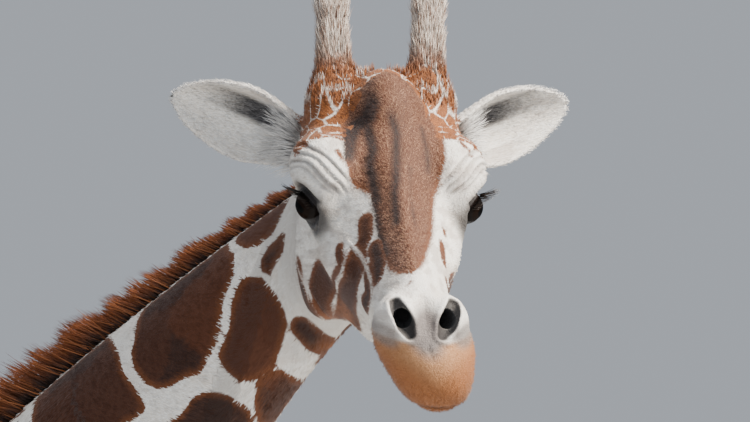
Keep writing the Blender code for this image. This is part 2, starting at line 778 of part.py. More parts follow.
def add_tail():
    tail = meshed("tail", "tail", flesh, *TAIL_ROOM)
    trimmed(tail, TAIL_CUT[0], [-c for c in TAIL_CUT[1]])
    trimmed(tail, (0, 0, TAIL_END_Z), (0, 0, -1))
    return tail


def add_tuft():
    """The long black hair at the tail's end, as one solid out to its tips."""
    curve = curve_through(TUFT_ROWS, 5)
    tuft = meshed("tail_tuft", "tuft", lambda points: sweep(points, curve, LEFT), *TUFT_ROOM)
    trimmed(tuft, (0, 0, TAIL_END_Z), (0, 0, 1))
    return tuft


def nape_line(count):
    """Points on the skin along the nape, from the poll to the withers, and the way out of each."""
    knots = curve_through(neck_rows()[1:], 8)[::-1]
    places = np.linspace(0, len(knots) - 1, count)
    middle = np.stack([np.interp(places, np.arange(len(knots)), column) for column in knots[:, :3].T], 1)
    along = np.gradient(middle, axis=0)
    along /= np.linalg.norm(along, axis=1)[:, None]
    out = np.stack([along[:, 2], 0 * along[:, 1], -along[:, 0]], 1)
    out /= np.linalg.norm(out, axis=1)[:, None]
    out *= np.sign(out[:, 2:])
    # From well outside, each step goes most of the way that is left.
    places = middle + 0.7 * out
    for _ in range(40):
        places -= 0.7 * out * flesh(places)[:, None]
    return places, out


def add_mane(neck, trunk, head):
    """The mane stands in a ridge down the nape, lower at each end."""
    places, out = nape_line(MANE_RINGS)
    rings = []
    for place, up, share in zip(places, out, np.linspace(0, 1, MANE_RINGS)):
        height = MANE_HEIGHT * min(1, 0.3 + 2.5 * share, 0.1 + 4 * (1 - share))
        left_half = [(MANE_HALF, -MANE_ROOT), (0.8 * MANE_HALF, height / 2)]
        right_half = [(-aside, level) for aside, level in left_half[::-1]]
        section = [*left_half, (0, height), *right_half]
        rings.append([place + aside * LEFT + level * up for aside, level in section])
    mane = lofted("mane", rings)
    for body in (neck, trunk, head):
        carved(mane, swollen(body, 3 * GAP))
    return mane


COAT = {
    "hide": ((0.34, 0.17, 0.08), 0.75),
    "pale_hide": ((0.72, 0.62, 0.50), 0.75),
    "mane_hair": ((0.30, 0.12, 0.05), 0.8),
    "tuft_hair": ((0.03, 0.022, 0.018), 0.7),
    "hoof_horn": ((0.10, 0.075, 0.055), 0.5),
    "eye": ((0.015, 0.010, 0.008), 0.12),
}


def coat_of(name):
    """The name of the material that a node is made of."""
    if name.startswith("ear") or name.startswith("ossicone"):
        return "pale_hide"
    special = {"mane": "mane_hair", "tail_tuft": "tuft_hair"}
    kinds = {"hoof": "hoof_horn", "eye": "eye"}
    return special.get(name) or kinds.get(name.split("_")[0], "hide")


def main():
    for thing in list(bpy.data.objects):
        bpy.data.objects.remove(thing)
    head, *small = add_head()
    neck = add_neck()
    trunk = add_trunk()
    nodes = [head, *small, neck, trunk, add_tail(), add_tuft()]
    for leg in STAGGER:
        nodes += [add_leg(leg), *add_hooves(leg)]
    bpy.context.view_layer.update()
    nodes.append(add_mane(neck, trunk, head))
    stand_at_origin(nodes)
    paints = {name: material(name, *look) for name, look in COAT.items()}
    for node in nodes:
        node.data.materials.clear()
        node.data.materials.append(paints[coat_of(node.name)])
        node.data.shade_smooth()
        node.data.set_sharp_from_angle(angle=math.radians(50))


def stand_at_origin(nodes):
    """Hangs the nodes on an empty, which is moved so that the whole stands centred on the origin."""
    bpy.context.view_layer.update()
    corners = np.array([node.matrix_world @ vert.co for node in nodes for vert in node.data.vertices])
    base = bpy.data.objects.new("giraffe", None)
    bpy.context.scene.collection.objects.link(base)
    for node in nodes:
        node.parent = base
    middle = (corners.min(0) + corners.max(0)) / 2
    base.location = (-middle[0], -middle[1], -corners[:, 2].min())


if __name__ == "__main__":
    main()
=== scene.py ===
"""Looks of the standing reticulated giraffe: one skin with its markings, her eyes, her claws and her hair.

The skin follows the same sweeps and ellipsoids as the solids, a coat's depth inside them, with the folds,
lids and nostrils that only a fine mesh can hold. Its markings are attributes on its points, and each tuft
of hair takes them over from its root. Lengths are metres, but for tables that say millimetres. "Body axes"
are the solids' own before they were centred; "head axes" run forward, left and up from between the eyes.
"""

import math
from concurrent.futures import ThreadPoolExecutor
from dataclasses import dataclass

import bmesh
import bpy
import numpy as np
import openvdb
from mathutils import Matrix, Vector


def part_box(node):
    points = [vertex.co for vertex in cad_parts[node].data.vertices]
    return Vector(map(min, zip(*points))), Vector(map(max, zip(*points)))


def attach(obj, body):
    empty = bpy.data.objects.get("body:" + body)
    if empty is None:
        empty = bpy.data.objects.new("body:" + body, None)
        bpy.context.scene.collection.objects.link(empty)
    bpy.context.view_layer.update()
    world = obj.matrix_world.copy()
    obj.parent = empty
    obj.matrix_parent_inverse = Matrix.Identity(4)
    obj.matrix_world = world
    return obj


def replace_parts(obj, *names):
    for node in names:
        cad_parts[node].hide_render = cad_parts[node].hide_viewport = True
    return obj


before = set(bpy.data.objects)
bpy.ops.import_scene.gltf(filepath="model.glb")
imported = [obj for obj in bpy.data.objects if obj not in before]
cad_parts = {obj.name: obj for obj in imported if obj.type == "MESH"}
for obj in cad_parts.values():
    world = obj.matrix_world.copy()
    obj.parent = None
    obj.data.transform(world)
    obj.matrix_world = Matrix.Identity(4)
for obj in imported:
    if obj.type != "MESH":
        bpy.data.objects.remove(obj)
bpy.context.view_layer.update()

# Driving dimensions, as in the solids
SHOULDER_HALF = 0.30
NECK_LENGTH = 1.63
NECK_SLOPE = math.radians(47.5)
FORE_FOOT_X, HIND_FOOT_X = 0.53, -0.80
FOOT_HALF_SPREAD = 0.165
HOOF_HEIGHT = 0.105
HEAD_YAW, HEAD_PITCH, HEAD_ROLL = map(math.radians, (-54.2, -17.5, -1.0))
SOCKET_RADIUS = 0.028
EYE_PLACE = np.array([0.014, 0.110, 0.004])
OSSICONE_LENGTH = 0.17
EAR_LENGTH = 0.214
MANE_HEIGHT = 0.090
LIP_PULL = 0.026
TAIL_END_Z, TUFT_END_Z = 1.30, 0.74
STAGGER = {"fore_left": -0.05, "fore_right": 0.05, "hind_left": 0.06, "hind_right": -0.06}
PAIR = {"left": 1, "right": -1}

# The skin lies this far inside the solids, less on the face and ears than on the rest.
COAT_DEPTH = 0.003
FACE_COAT = 0.0015
EAR_WALL = 0.0055
OSSICONE_COAT = 0.008

NECK_BASE = np.array([0.60, 0.0, 2.42])
NECK_AIM = np.array([math.cos(NECK_SLOPE), 0, math.sin(NECK_SLOPE)])
NECK_UP = np.array([-math.sin(NECK_SLOPE), 0, math.cos(NECK_SLOPE)])
NECK_TOP = NECK_BASE + NECK_LENGTH * NECK_AIM
LEFT = np.array([0.0, 1.0, 0.0])


def unit(vector):
    return np.asarray(vector) / np.linalg.norm(vector)


def mm(values):
    """Millimetres as metres."""
    return np.array(values, float) / 1000


# Columns: the head's own forward, left and up in the body's axes
HEAD_AXES = np.array(
    Matrix.Rotation(HEAD_YAW, 3, "Z")
    @ Matrix.Rotation(-HEAD_PITCH, 3, "Y")
    @ Matrix.Rotation(HEAD_ROLL, 3, "X")
)
HEAD_ORIGIN = NECK_TOP + HEAD_AXES @ np.array([0.15, 0.0, 0.07])


def mirrored(place, side):
    return np.asarray(place) * [1, side, 1]


def to_head(points):
    return (points - HEAD_ORIGIN) @ HEAD_AXES


def from_head(points):
    return HEAD_ORIGIN + np.asarray(points) @ HEAD_AXES.T


def shift_to_frame():
    """How far the body's axes lie from the frame's, read from where the left eye is."""
    low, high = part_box("eye_left")
    return np.array((low + high) / 2) - from_head(EYE_PLACE)


SHIFT = shift_to_frame()


# ---------------------------------------------------------------- distances


def smooth_union(a, b, width):
    """The nearer of two distances, with a fillet of this width where they meet."""
    share = np.clip(0.5 + 0.5 * (b - a) / width, 0, 1)
    return b + (a - b) * share - width * share * (1 - share)


def smooth_cut(a, b, width):
    """Distance a with the form of distance b taken out of it."""
    return -smooth_union(-a, b, width)


def bell(offset, width):
    """1 where the offset is 0, which falls away smoothly on both sides."""
    return np.exp(-((offset / width) ** 2))


def ramp(values, start, end):
    """0 before start, 1 after end, and smooth between."""
    share = np.clip((values - start) / (end - start), 0, 1)
    return share * share * (3 - 2 * share)


CURVE_STEPS = 6


def curve_through(rows, steps):
    """Rows on a smooth Catmull-Rom curve through the given rows, this many for each span."""
    rows = np.array(rows, float)
    ends = np.vstack([2 * rows[0] - rows[1], rows, 2 * rows[-1] - rows[-2]])
    t = np.linspace(0, 1, steps, endpoint=False)[:, None]
    spans = [
        b + t / 2 * (c - a + t * (2 * a - 5 * b + 4 * c - d + t * (3 * (b - c) + d - a)))
        for a, b, c, d in zip(ends, ends[1:], ends[2:], ends[3:])
    ]
    return np.vstack([*spans, rows[-1:]])


def blob(points, centre, radii, pitch=0.0):
    """Distance to an ellipsoid, tipped nose-up by pitch about its left axis."""
    offset = points - centre
    away = np.linalg.norm(offset, axis=1)
    if pitch:
        c, s = math.cos(pitch), math.sin(pitch)
        x, z = offset[:, 0], offset[:, 2]
        offset = np.stack([c * x + s * z, offset[:, 1], c * z - s * x], 1)
    scaled = np.linalg.norm(offset / radii, axis=1)
    return away - (away + 1e-9) / (scaled + 1e-9 / min(radii))


def sweep(points, knots):
    """Distance to a limb. Knots hold x, y, z, half-width from side to side, and half-depth."""
    nearest = np.full(len(points), np.inf)
    found = np.zeros(len(points))
    for start, end in zip(knots, knots[1:]):
        axis = end[:3] - start[:3]
        share = np.clip((points - start[:3]) @ axis / (axis @ axis), 0, 1)[:, None]
        offset = points - start[:3] - share * axis
        wide, deep = (start[3:] + share * (end[3:] - start[3:])).T
        away = np.linalg.norm(offset, axis=1)
        across = offset[:, 1]
        rest = np.sqrt(np.maximum(away**2 - across**2, 0))
        scaled = np.hypot(across / wide, rest / deep)
        reach = (away + 1e-9) / (scaled + 1e-9 / np.minimum(wide, deep))
        closer = away < nearest
        found = np.where(closer, away - reach, found)
        nearest = np.minimum(nearest, away)
    return found


def along_path(points, path):
    """Distance from a line through the path's points."""
    nearest = np.full(len(points), np.inf)
    for start, end in zip(path, path[1:]):
        axis = end - start
        share = np.clip((points - start) @ axis / (axis @ axis), 0, 1)[:, None]
        nearest = np.minimum(nearest, np.linalg.norm(points - start - share * axis, axis=1))
    return nearest


class Form:
    """A distance that matters only inside a box, and how softly it joins what is there already."""

    def __init__(self, distance, low, high, blend):
        margin = 0.03 + blend
        self.distance = distance
        self.low = np.array(low, float) - margin
        self.high = np.array(high, float) + margin
        self.blend = blend


def sweep_form(rows, blend):
    knots = curve_through(rows, CURVE_STEPS)
    reach = knots[:, 3:].max()
    low = knots[:, :3].min(0) - reach
    high = knots[:, :3].max(0) + reach
    return Form(lambda points: sweep(points, knots), low, high, blend)


def blob_form(centre, radii, blend, pitch=0.0):
    centre = np.array(centre, float)
    reach = max(radii)
    return Form(lambda points: blob(points, centre, radii, pitch), centre - reach, centre + reach, blend)


def joined(forms, points):
    """Distance to all the forms blended together, in their order."""
    found = np.full(len(points), 1.0)
    for form in forms:
        near = np.all((points > form.low) & (points < form.high), axis=1)
        if near.any():
            found[near] = smooth_union(found[near], form.distance(points[near]), form.blend)
    return found


# ---------------------------------------------------------------- trunk, neck, legs and tail

# x, y, z of the middle, half-width, half-depth
TRUNK_ROWS = [
    (-0.93, 0, 1.99, 0.130, 0.15),
    (-0.80, 0, 1.99, 0.215, 0.275),
    (-0.55, 0, 1.992, 0.265, 0.350),
    (-0.25, 0, 2.012, 0.300, 0.412),
    (0.05, 0, 2.055, SHOULDER_HALF + 0.01, 0.470),
    (0.30, 0, 2.110, SHOULDER_HALF - 0.02, 0.510),
    (0.50, 0, 2.14, 0.235, 0.48),
    (0.66, 0, 2.16, 0.180, 0.36),
]

# Share of the way from the neck's base to its top, sag below the straight line, half-width, half-depth
NECK_SHAPE = [
    (-0.22, 0.04, 0.200, 0.46),
    (0.00, 0.00, 0.185, 0.40),
    (0.15, -0.015, 0.150, 0.315),
    (0.35, -0.044, 0.118, 0.242),
    (0.60, -0.062, 0.098, 0.182),
    (0.80, -0.048, 0.086, 0.133),
    (0.92, -0.026, 0.079, 0.107),
]

# Places after the foot's own x and y, at these heights: forward, outward, height, half-width, half-depth
FORE_LEG = [
    (-0.13, 0.060, 2.25, 0.07, 0.21),
    (-0.03, 0.065, 1.98, 0.095, 0.19),
    (-0.09, 0.045, 1.70, 0.088, 0.140),
    (-0.075, 0.025, 1.42, 0.070, 0.094),
    (-0.060, 0.010, 1.12, 0.055, 0.064),
    (-0.050, 0.005, 0.97, 0.055, 0.062),
    (-0.048, 0.003, 0.885, 0.057, 0.064),
    (-0.057, 0.002, 0.79, 0.043, 0.048),
    (-0.060, 0.000, 0.55, 0.036, 0.042),
    (-0.063, 0.000, 0.35, 0.040, 0.047),
    (-0.060, 0.000, 0.265, 0.049, 0.056),
    (-0.030, 0.000, 0.17, 0.046, 0.049),
    (-0.008, 0.000, 0.10, 0.062, 0.066),
]
HIND_LEG = [
    (0.10, 0.020, 2.02, 0.12, 0.22),
    (0.13, 0.050, 1.75, 0.115, 0.215),
    (0.14, 0.050, 1.52, 0.098, 0.160),
    (0.06, 0.030, 1.28, 0.073, 0.110),
    (-0.035, 0.012, 1.06, 0.050, 0.073),
    (-0.085, 0.004, 0.92, 0.050, 0.072),
    (-0.085, 0.002, 0.83, 0.048, 0.062),
    (-0.075, 0.000, 0.72, 0.042, 0.050),
    (-0.068, 0.000, 0.52, 0.037, 0.043),
    (-0.064, 0.000, 0.34, 0.041, 0.047),
    (-0.060, 0.000, 0.265, 0.049, 0.056),
    (-0.030, 0.000, 0.17, 0.046, 0.049),
    (-0.008, 0.000, 0.10, 0.060, 0.064),
]

TAIL_ROWS = [
    (-0.90, 0, 2.07, 0.050, 0.060),
    (-1.00, 0, 2.03, 0.036, 0.042),
    (-1.06, 0, 1.90, 0.026, 0.028),
    (-1.075, 0, 1.65, 0.019, 0.020),
    (-1.075, 0, 1.42, 0.015, 0.015),
    (-1.07, 0, TAIL_END_Z - 0.04, 0.015, 0.015),
]
TUFT_ROWS = [
    (-1.07, 0, TAIL_END_Z + 0.03, 0.016, 0.016),
    (-1.07, 0, 1.18, 0.030, 0.032),
    (-1.065, 0, 1.02, 0.040, 0.043),
    (-1.06, 0, 0.88, 0.034, 0.038),
    (-1.055, 0, TUFT_END_Z + 0.02, 0.010, 0.012),
]


def neck_rows():
    """Knots up the neck, which end in the head behind the jaw."""
    rows = []
    for share, sag, wide, deep in NECK_SHAPE:
        rows.append([*(NECK_BASE + share * NECK_LENGTH * NECK_AIM - sag * NECK_UP), wide, deep])
    nape = from_head([-0.140, -0.01, -0.085])
    return [*rows, [*nape, 0.082, 0.106]]


def foot_place(leg):
    x = FORE_FOOT_X if leg.startswith("fore") else HIND_FOOT_X
    side = 1 if leg.endswith("left") else -1
    return x + STAGGER[leg], side * FOOT_HALF_SPREAD, side


def leg_rows(leg):
    """The leg's knots. The foot is set by the stagger, which fades out towards the shoulder or hip."""
    x, y, side = foot_place(leg)
    rows = []
    for forward, outward, height, wide, deep in FORE_LEG if leg.startswith("fore") else HIND_LEG:
        planted = min(1.0, max(0.0, (1.75 - height) / 1.5))
        rows.append((x + forward - (1 - planted) * STAGGER[leg], y + side * outward, height, wide, deep))
    return rows


# Muscles and bones that shape the withers, the shoulder and the hip: centre, radii, blend and pitch.
# Those off the middle are paired.
MUSCLES = [
    ((0.36, 0, 2.50), (0.30, 0.085, 0.215), 0.12, 0),
    ((0.62, 0, 2.02), (0.20, 0.15, 0.22), 0.10, 0),
    ((-0.74, 0, 2.16), (0.22, 0.12, 0.10), 0.10, 0),
    ((0.44, 0.165, 2.22), (0.17, 0.115, 0.34), 0.09, -0.25),
    ((0.60, 0.155, 1.98), (0.12, 0.10, 0.15), 0.08, 0),
    ((0.40, 0.19, 1.84), (0.14, 0.085, 0.15), 0.08, 0),
    ((-0.62, 0.155, 2.10), (0.12, 0.13, 0.13), 0.09, 0),
    ((-0.84, 0.125, 1.93), (0.11, 0.10, 0.22), 0.09, 0),
    ((-0.56, 0.175, 1.62), (0.14, 0.09, 0.20), 0.09, 0.3),
]


def body_forms():
    trunk = sweep_form(TRUNK_ROWS, blend=0.05)
    muscles = [blob_form(centre, *rest) for centre, *rest in MUSCLES]
    muscles += [blob_form(mirrored(centre, -1), *rest) for centre, *rest in MUSCLES if centre[1]]
    neck = sweep_form(neck_rows(), blend=0.14)
    tail = sweep_form(TAIL_ROWS, blend=0.04)
    legs = [sweep_form(leg_rows(leg), blend=0.07) for leg in STAGGER]
    return [trunk, *muscles, *legs, tail, neck]


# ---------------------------------------------------------------- head

# Forward, top, bottom, then half-widths high, half-way and low on the face, in millimetres
FACE = [
    (-215, 45, -60, 50, 60, 45),
    (-160, 95, -150, 75, 94, 68),
    (-100, 128, -195, 88, 107, 76),
    (-40, 126, -208, 94, 107, 74),
    (20, 102, -204, 87, 96, 65),
    (80, 67, -187, 64, 86, 51),
    (150, 36, -168, 48, 70, 42),
    (220, 11, -158, 42, 58, 37),
    (290, -10, -156, 41, 53, 32),
    (340, -26, -158, 43, 53, 32),
]
FACE_CURVE = curve_through(mm(FACE), CURVE_STEPS)
FACE_SQUARENESS = 2.5

# Centre, radii and blend of the swellings on the face, in millimetres. Those off the middle are paired.
SWELLINGS = [
    ((-88, 0, 112), (74, 56, 62), 35),  # frontal boss
    ((-18, 86, 50), (78, 57, 50), 35),  # brow over the eye
    ((10, 100, 2), (48, 28, 36), 28),  # lids round the eye
    ((46, 70, -48), (85, 20, 24), 45),  # cheekbone under the eye
    ((-75, 69, -110), (85, 45, 85), 45),  # chewing muscle
    ((-150, 50, 50), (60, 45, 50), 40),  # back of the skull
    ((335, 0, -100), (70, 67, 56), 40),  # upper lip
    ((362, 0, -135), (46, 52, 47), 30),  # lip's overhang
    ((343, 35, -52), (44, 27, 26), 30),  # nostril's wing
    ((305, 0, -160), (60, 32, 26), 22),  # chin
]

OSSICONE_BASE = np.array([-0.115, 0.066, 0.105])
OSSICONE_AIM = unit([-0.42, 0.03, 0.905])
# Share of the ossicone's length, radius
OSSICONE_SHAPE = [(-0.20, 0.050), (0.10, 0.045), (0.35, 0.036), (0.65, 0.028), (0.85, 0.030), (1.0, 0.024)]

EAR_ROOT = np.array([-0.125, 0.098, 0.046])
EAR_AIM = np.array([-0.400, 0.886, 0.220])
EAR_FACING = np.array([0.90, 0.42, -0.05])
# Share of the ear's length, half-width, depth of the cup at the middle line
EAR_SHAPE = [
    (0.00, 0.026, 0.020),
    (0.18, 0.041, 0.030),
    (0.45, 0.056, 0.029),
    (0.70, 0.048, 0.019),
    (0.88, 0.030, 0.010),
    (0.96, 0.016, 0.005),
    (1.00, 0.005, 0.002),
]

# How far from the line of the eye's gaze the skin leaves the eyeball and runs on to the face
LID_EDGE = 0.024, 0.037
# Which way the eye looks, and the line from its outer to its inner corner
GAZE = unit([0.45, 0.89, -0.08])
EYE_UP = unit(np.cross([0.85, -0.40, -0.33], GAZE))
EYE_ALONG = np.cross(GAZE, EYE_UP)
EYE_RADIUS = 0.0245
# The lids part along two planes that meet this far ahead of the eye's middle, at these slopes up and down.
LID_MEETING = 0.006
UPPER_LID, LOWER_LID = math.radians(56), math.radians(40)

# Forward, outward, up and radius in millimetres, along the nostril's slit and along the hollow behind it
NOSTRIL_SLIT = [
    (350, 41, -29, 5.5), (369, 36, -40, 10.5), (381, 29, -53, 11), (388, 23, -64, 5.5),
]
NOSTRIL_HOLLOW = [(372, 32, -47, 11), (345, 27, -55, 14), (312, 22, -62, 9)]

# Wrinkles over the brow lie on rings round the eye: radius and how deep each is.
BROW_WRINKLES = [(0.0550, 0.7), (0.0625, 1.0), (0.0720, 0.8), (0.0810, 1.0)]
WRINKLE_DEPTH, WRINKLE_WIDTH = 0.0046, 0.0024

# Furrows in the head's axes, in millimetres: path, depth, width. The turned head folds its right side only.
FURROWS = [
    ([(-75, -125, -40), (-55, -118, -85), (-38, -108, -125), (-20, -88, -160), (-45, -55, -205)], 5.5, 4.5),
    ([(-115, -125, -60), (-95, -122, -110), (-85, -108, -160), (-85, -80, -210)], 5, 6),
    ([(-145, -130, -90), (-122, -135, -140), (-110, -120, -195), (-105, -90, -245)], 3.5, 7),
    ([(395, 0, -60), (400, 0, -80), (402, 0, -100)], 1.6, 3),
]
# Paths of the veins and folds that stand up on her right cheek, in millimetres
VEINS = [
    [(-73, -116, -74), (-64, -114, -112), (-31, -100, -142), (-43, -73, -187), (-72, -36, -224)],
    [(127, -72, -27), (132, -80, -57), (84, -79, -91), (14, -70, -145), (-41, -57, -186), (-67, -32, -213)],
    [(112, -72, -19), (154, -59, -27), (193, -54, -37), (233, -53, -55), (233, -52, -95)],
]
VEIN_HEIGHT, VEIN_WIDTH = 0.0022, 0.0030




def face_distance(points):
    """Distance to the skull and jaw, lofted along the head's axis."""
    x = np.clip(points[:, 0], FACE_CURVE[0, 0], FACE_CURVE[-1, 0])
    top, bottom, high, middle, low = (np.interp(x, FACE_CURVE[:, 0], c) for c in FACE_CURVE.T[1:])
    half = (top - bottom) / 2
    z = points[:, 2] - (top + bottom) / 2
    level = np.clip(z / half, -1, 1)
    wide = middle + level * (high - low) / 1.4 + level**2 * ((high + low) / 2 - middle) / 0.49
    y = np.abs(points[:, 1])
    power = FACE_SQUARENESS
    wide = np.maximum(wide, 0.02)
    scaled = ((y / wide) ** power + (np.abs(z) / half) ** power + 1e-9) ** (1 / power)
    away = np.hypot(y, z)
    around = away - (away + 1e-9) / (scaled + 1e-9)
    beyond = points[:, 0] - x
    past_end = np.hypot(np.maximum(around, 0), beyond) + np.minimum(around, 0) * 0.2
    return np.where(beyond == 0, around, past_end)


def ear_frame():
    """Columns: along the ear to its tip, across it, and out of its open side."""
    along = unit(EAR_AIM)
    across = unit(np.cross(EAR_FACING, along))
    return np.stack([along, across, np.cross(along, across)], 1)


EAR_FRAME = ear_frame()
EAR_CURVE = curve_through(EAR_SHAPE, CURVE_STEPS)


def ossicone_rows():
    for share, radius in OSSICONE_SHAPE:
        bare = radius - OSSICONE_COAT * min(1, max(0, 3 * share))
        yield [*(OSSICONE_BASE + share * OSSICONE_LENGTH * OSSICONE_AIM), bare, bare]


OSSICONE_CURVE = curve_through(list(ossicone_rows()), 4)
SLIT_CURVE, HOLLOW_CURVE = (
    curve_through([(*row, row[-1]) for row in mm(rows)], 4) for rows in (NOSTRIL_SLIT, NOSTRIL_HOLLOW)
)
# The gristle that carries the ear: along it, back from its cup, radius
EAR_STALK = curve_through(
    [
        [*(EAR_ROOT + EAR_FRAME @ [along, 0, out]), radius, radius]
        for along, out, radius in ((-0.02, -0.012, 0.034), (0.03, -0.030, 0.026), (0.08, -0.036, 0.010))
    ],
    4,
)
FURROW_CURVES = [(curve_through(mm(path), 5), *mm(size)) for path, *size in FURROWS]
VEIN_CURVES = [curve_through(mm(path), 5) for path in VEINS]


def ear_distance(points):
    """Distance to a cupped leaf with a rounded rim, thick-walled at its root."""
    along, across, out = ((points - EAR_ROOT) @ EAR_FRAME).T
    share = along / EAR_LENGTH
    shares, half_widths, depths = EAR_CURVE.T
    wide = np.interp(share, shares, half_widths)
    depth = np.interp(share, shares, depths)
    level = across / wide
    slope = np.where(np.abs(level) < 1.3, 2 * depth * level / wide, 0)
    sheet = (out + depth * (1 - np.minimum(level**2, 1.7))) / np.sqrt(1 + slope**2)
    half_wall = EAR_WALL / 2 * (1 + np.clip(0.5 - share, 0, 0.5))
    beyond = np.maximum(np.abs(across) - wide, np.maximum(-0.02 - along, along - EAR_LENGTH))
    return np.hypot(np.maximum(beyond + half_wall, 0), sheet) - half_wall


def lid_opening(local):
    """Distance to the wedge between the lids, which is open towards where the eye looks."""
    offset = local - EYE_PLACE
    ahead, high = offset @ GAZE - LID_MEETING, offset @ EYE_UP
    upper = high * math.cos(UPPER_LID) - ahead * math.sin(UPPER_LID)
    lower = -high * math.cos(LOWER_LID) - ahead * math.sin(LOWER_LID)
    reach = np.linalg.norm(offset, axis=1) - 1.4 * SOCKET_RADIUS
    return np.maximum(np.maximum(upper, lower), reach)


def wrinkles(local):
    """How far the skin is pressed in by the wrinkles of the brow and over the upper lid."""
    offset = local - EYE_PLACE
    away = np.linalg.norm(offset, axis=1)
    x, y, _ = local.T
    fade = ramp(offset[:, 2], 0.022, 0.040) * ramp(x, -0.055, -0.015) * ramp(y, 0.062, 0.078)
    ringed = away - 0.2 * offset[:, 1] + 0.0022 * np.sin(110 * x + 60 * y)
    pressed = sum(depth * bell(ringed - ring, WRINKLE_WIDTH) for ring, depth in BROW_WRINKLES)
    above = offset @ EYE_UP
    crease = bell(above - 0.027, 0.0030) * ramp(-away, -0.045, -0.036)
    tear = bell(away - 0.040, 0.004) * ramp(-above, 0.004, 0.014)
    return WRINKLE_DEPTH * pressed * fade + 0.0035 * crease + 0.0030 * tear


def paired(local):
    """Places on the head brought over to its left side."""
    return np.column_stack([local[:, 0], np.abs(local[:, 1]), local[:, 2]])


def mouth_height(forward):
    return -0.170 + 0.20 * np.maximum(0.36 - forward, 0)


def lips_straight(points):
    """Takes back the pull of the lips to her left, so that both sides can be modelled alike."""
    pulled = np.clip((-0.07 - points[:, 2]) / 0.10, 0, 1) * np.clip((points[:, 0] - 0.18) / 0.12, 0, 1)
    return points - np.outer(LIP_PULL * pulled, LEFT)


def head_distance(points):
    """Distance to the whole head's skin, in the head's own axes."""
    points = lips_straight(points)
    local = paired(points)
    found = face_distance(local)
    for centre, radii, blend in SWELLINGS:
        found = smooth_union(found, blob(local, mm(centre), mm(radii)), blend / 1000)
    near_eye = np.linalg.norm(local - EYE_PLACE, axis=1) < 0.12
    if near_eye.any():
        place = local[near_eye]
        offset = place - EYE_PLACE
        lids = np.linalg.norm(offset, axis=1) - SOCKET_RADIUS + FACE_COAT
        ahead = offset @ GAZE
        aside = np.sqrt(np.maximum((offset**2).sum(1) - ahead**2, 0))
        wrapped = (1 - ramp(aside, *LID_EDGE)) * ramp(ahead, -0.01, 0.01)
        skin = smooth_union(found[near_eye], lids, 0.008)
        skin = skin + (lids - skin) * wrapped + wrinkles(place)
        found[near_eye] = smooth_cut(skin, lid_opening(place), 0.0025)
    found = smooth_union(found, sweep(local, OSSICONE_CURVE), 0.030)
    found = smooth_union(found, sweep(local, EAR_STALK), 0.025)
    found = smooth_union(found, ear_distance(local) - COAT_DEPTH, 0.010)
    near_lips = local[:, 0] > 0.16
    if near_lips.any():
        place = local[near_lips]
        slit = sweep(place, SLIT_CURVE)
        rim = 0.0022 * bell(slit - 0.006, 0.0035)
        mouth = bell(place[:, 2] - mouth_height(place[:, 0]), 0.0028) * ramp(place[:, 0], 0.19, 0.23)
        skin = found[near_lips] - rim + 0.0045 * mouth
        hole = np.minimum(slit, sweep(place, HOLLOW_CURVE))
        found[near_lips] = smooth_cut(skin, hole, 0.003)
    for path, depth, width in FURROW_CURVES:
        found = found + depth * bell(along_path(points, path), width)
    for path in VEIN_CURVES:
        found = found - VEIN_HEIGHT * bell(along_path(points, path), VEIN_WIDTH)
    return found


HEAD_REACH = 0.48
HEAD_FORM = Form(
    lambda points: head_distance(to_head(points)) - (COAT_DEPTH - FACE_COAT),
    HEAD_ORIGIN - HEAD_REACH,
    HEAD_ORIGIN + HEAD_REACH,
    0.045,
)
FLESH = [*body_forms(), HEAD_FORM]
CHUNK = 20000


def in_chunks(work, points):
    """Runs work on the points in chunks, on several threads, and joins what it returns."""
    with ThreadPoolExecutor(4) as pool:
        parts = list(pool.map(lambda i: work(points[i : i + CHUNK]), range(0, len(points), CHUNK)))
    return np.concatenate(parts)


def skin_distance(points):
    """Distance to her skin, in the body's axes."""
    return in_chunks(lambda some: joined(FLESH, some) + COAT_DEPTH, points)


def skin_at_head(points):
    return skin_distance(from_head(points))


# ---------------------------------------------------------------- meshing

BLOCK = 4


def graded(low, high, spacing):
    """Places from low to high. Spacing holds places and the step at each, joined by straight lines."""
    knots, steps = zip(*spacing)
    places = [low]
    while places[-1] < high or len(places) % BLOCK:
        places.append(places[-1] + np.interp(places[-1], knots, steps))
    return np.array(places)


def distance_grid(distance, axes):
    """Distances at every point of a grid. Blocks that the surface can't cross share one value."""
    blocks = [len(axis) // BLOCK for axis in axes]
    cells = [axis.reshape(-1, BLOCK) for axis in axes]
    middles = np.stack(np.meshgrid(*[cell.mean(1) for cell in cells], indexing="ij"), -1).reshape(-1, 3)
    spans = np.stack(np.meshgrid(*[np.ptp(cell, axis=1) for cell in cells], indexing="ij"), -1).reshape(-1, 3)
    rough = distance(middles)
    near = np.abs(rough) < 1.3 * np.linalg.norm(spans, axis=1)
    values = np.repeat(rough[:, None], BLOCK**3, axis=1)
    place = np.stack(np.meshgrid(*map(np.arange, blocks), indexing="ij"), -1).reshape(-1, 3)[near]
    steps = np.stack(np.meshgrid(*[np.arange(BLOCK)] * 3, indexing="ij"), -1).reshape(-1, 3)
    index = BLOCK * place[:, None] + steps
    fine = np.stack([axis[index[..., i]] for i, axis in enumerate(axes)], -1)
    values[near] = distance(fine.reshape(-1, 3)).reshape(-1, BLOCK**3)
    grid = values.reshape(*blocks, BLOCK, BLOCK, BLOCK).transpose(0, 3, 1, 4, 2, 5)
    return grid.reshape([len(axis) for axis in axes])


def meshed(distance, axes):
    """Points and quads of the surface where distance is zero."""
    values = distance_grid(distance, axes).astype(np.float32)
    volume = openvdb.FloatGrid(1.0)
    volume.copyFromArray(values)
    places, quads = volume.convertToQuads(0.0)
    columns = [np.interp(column, np.arange(len(axis)), axis) for column, axis in zip(places.T, axes)]
    return np.stack(columns, 1), quads


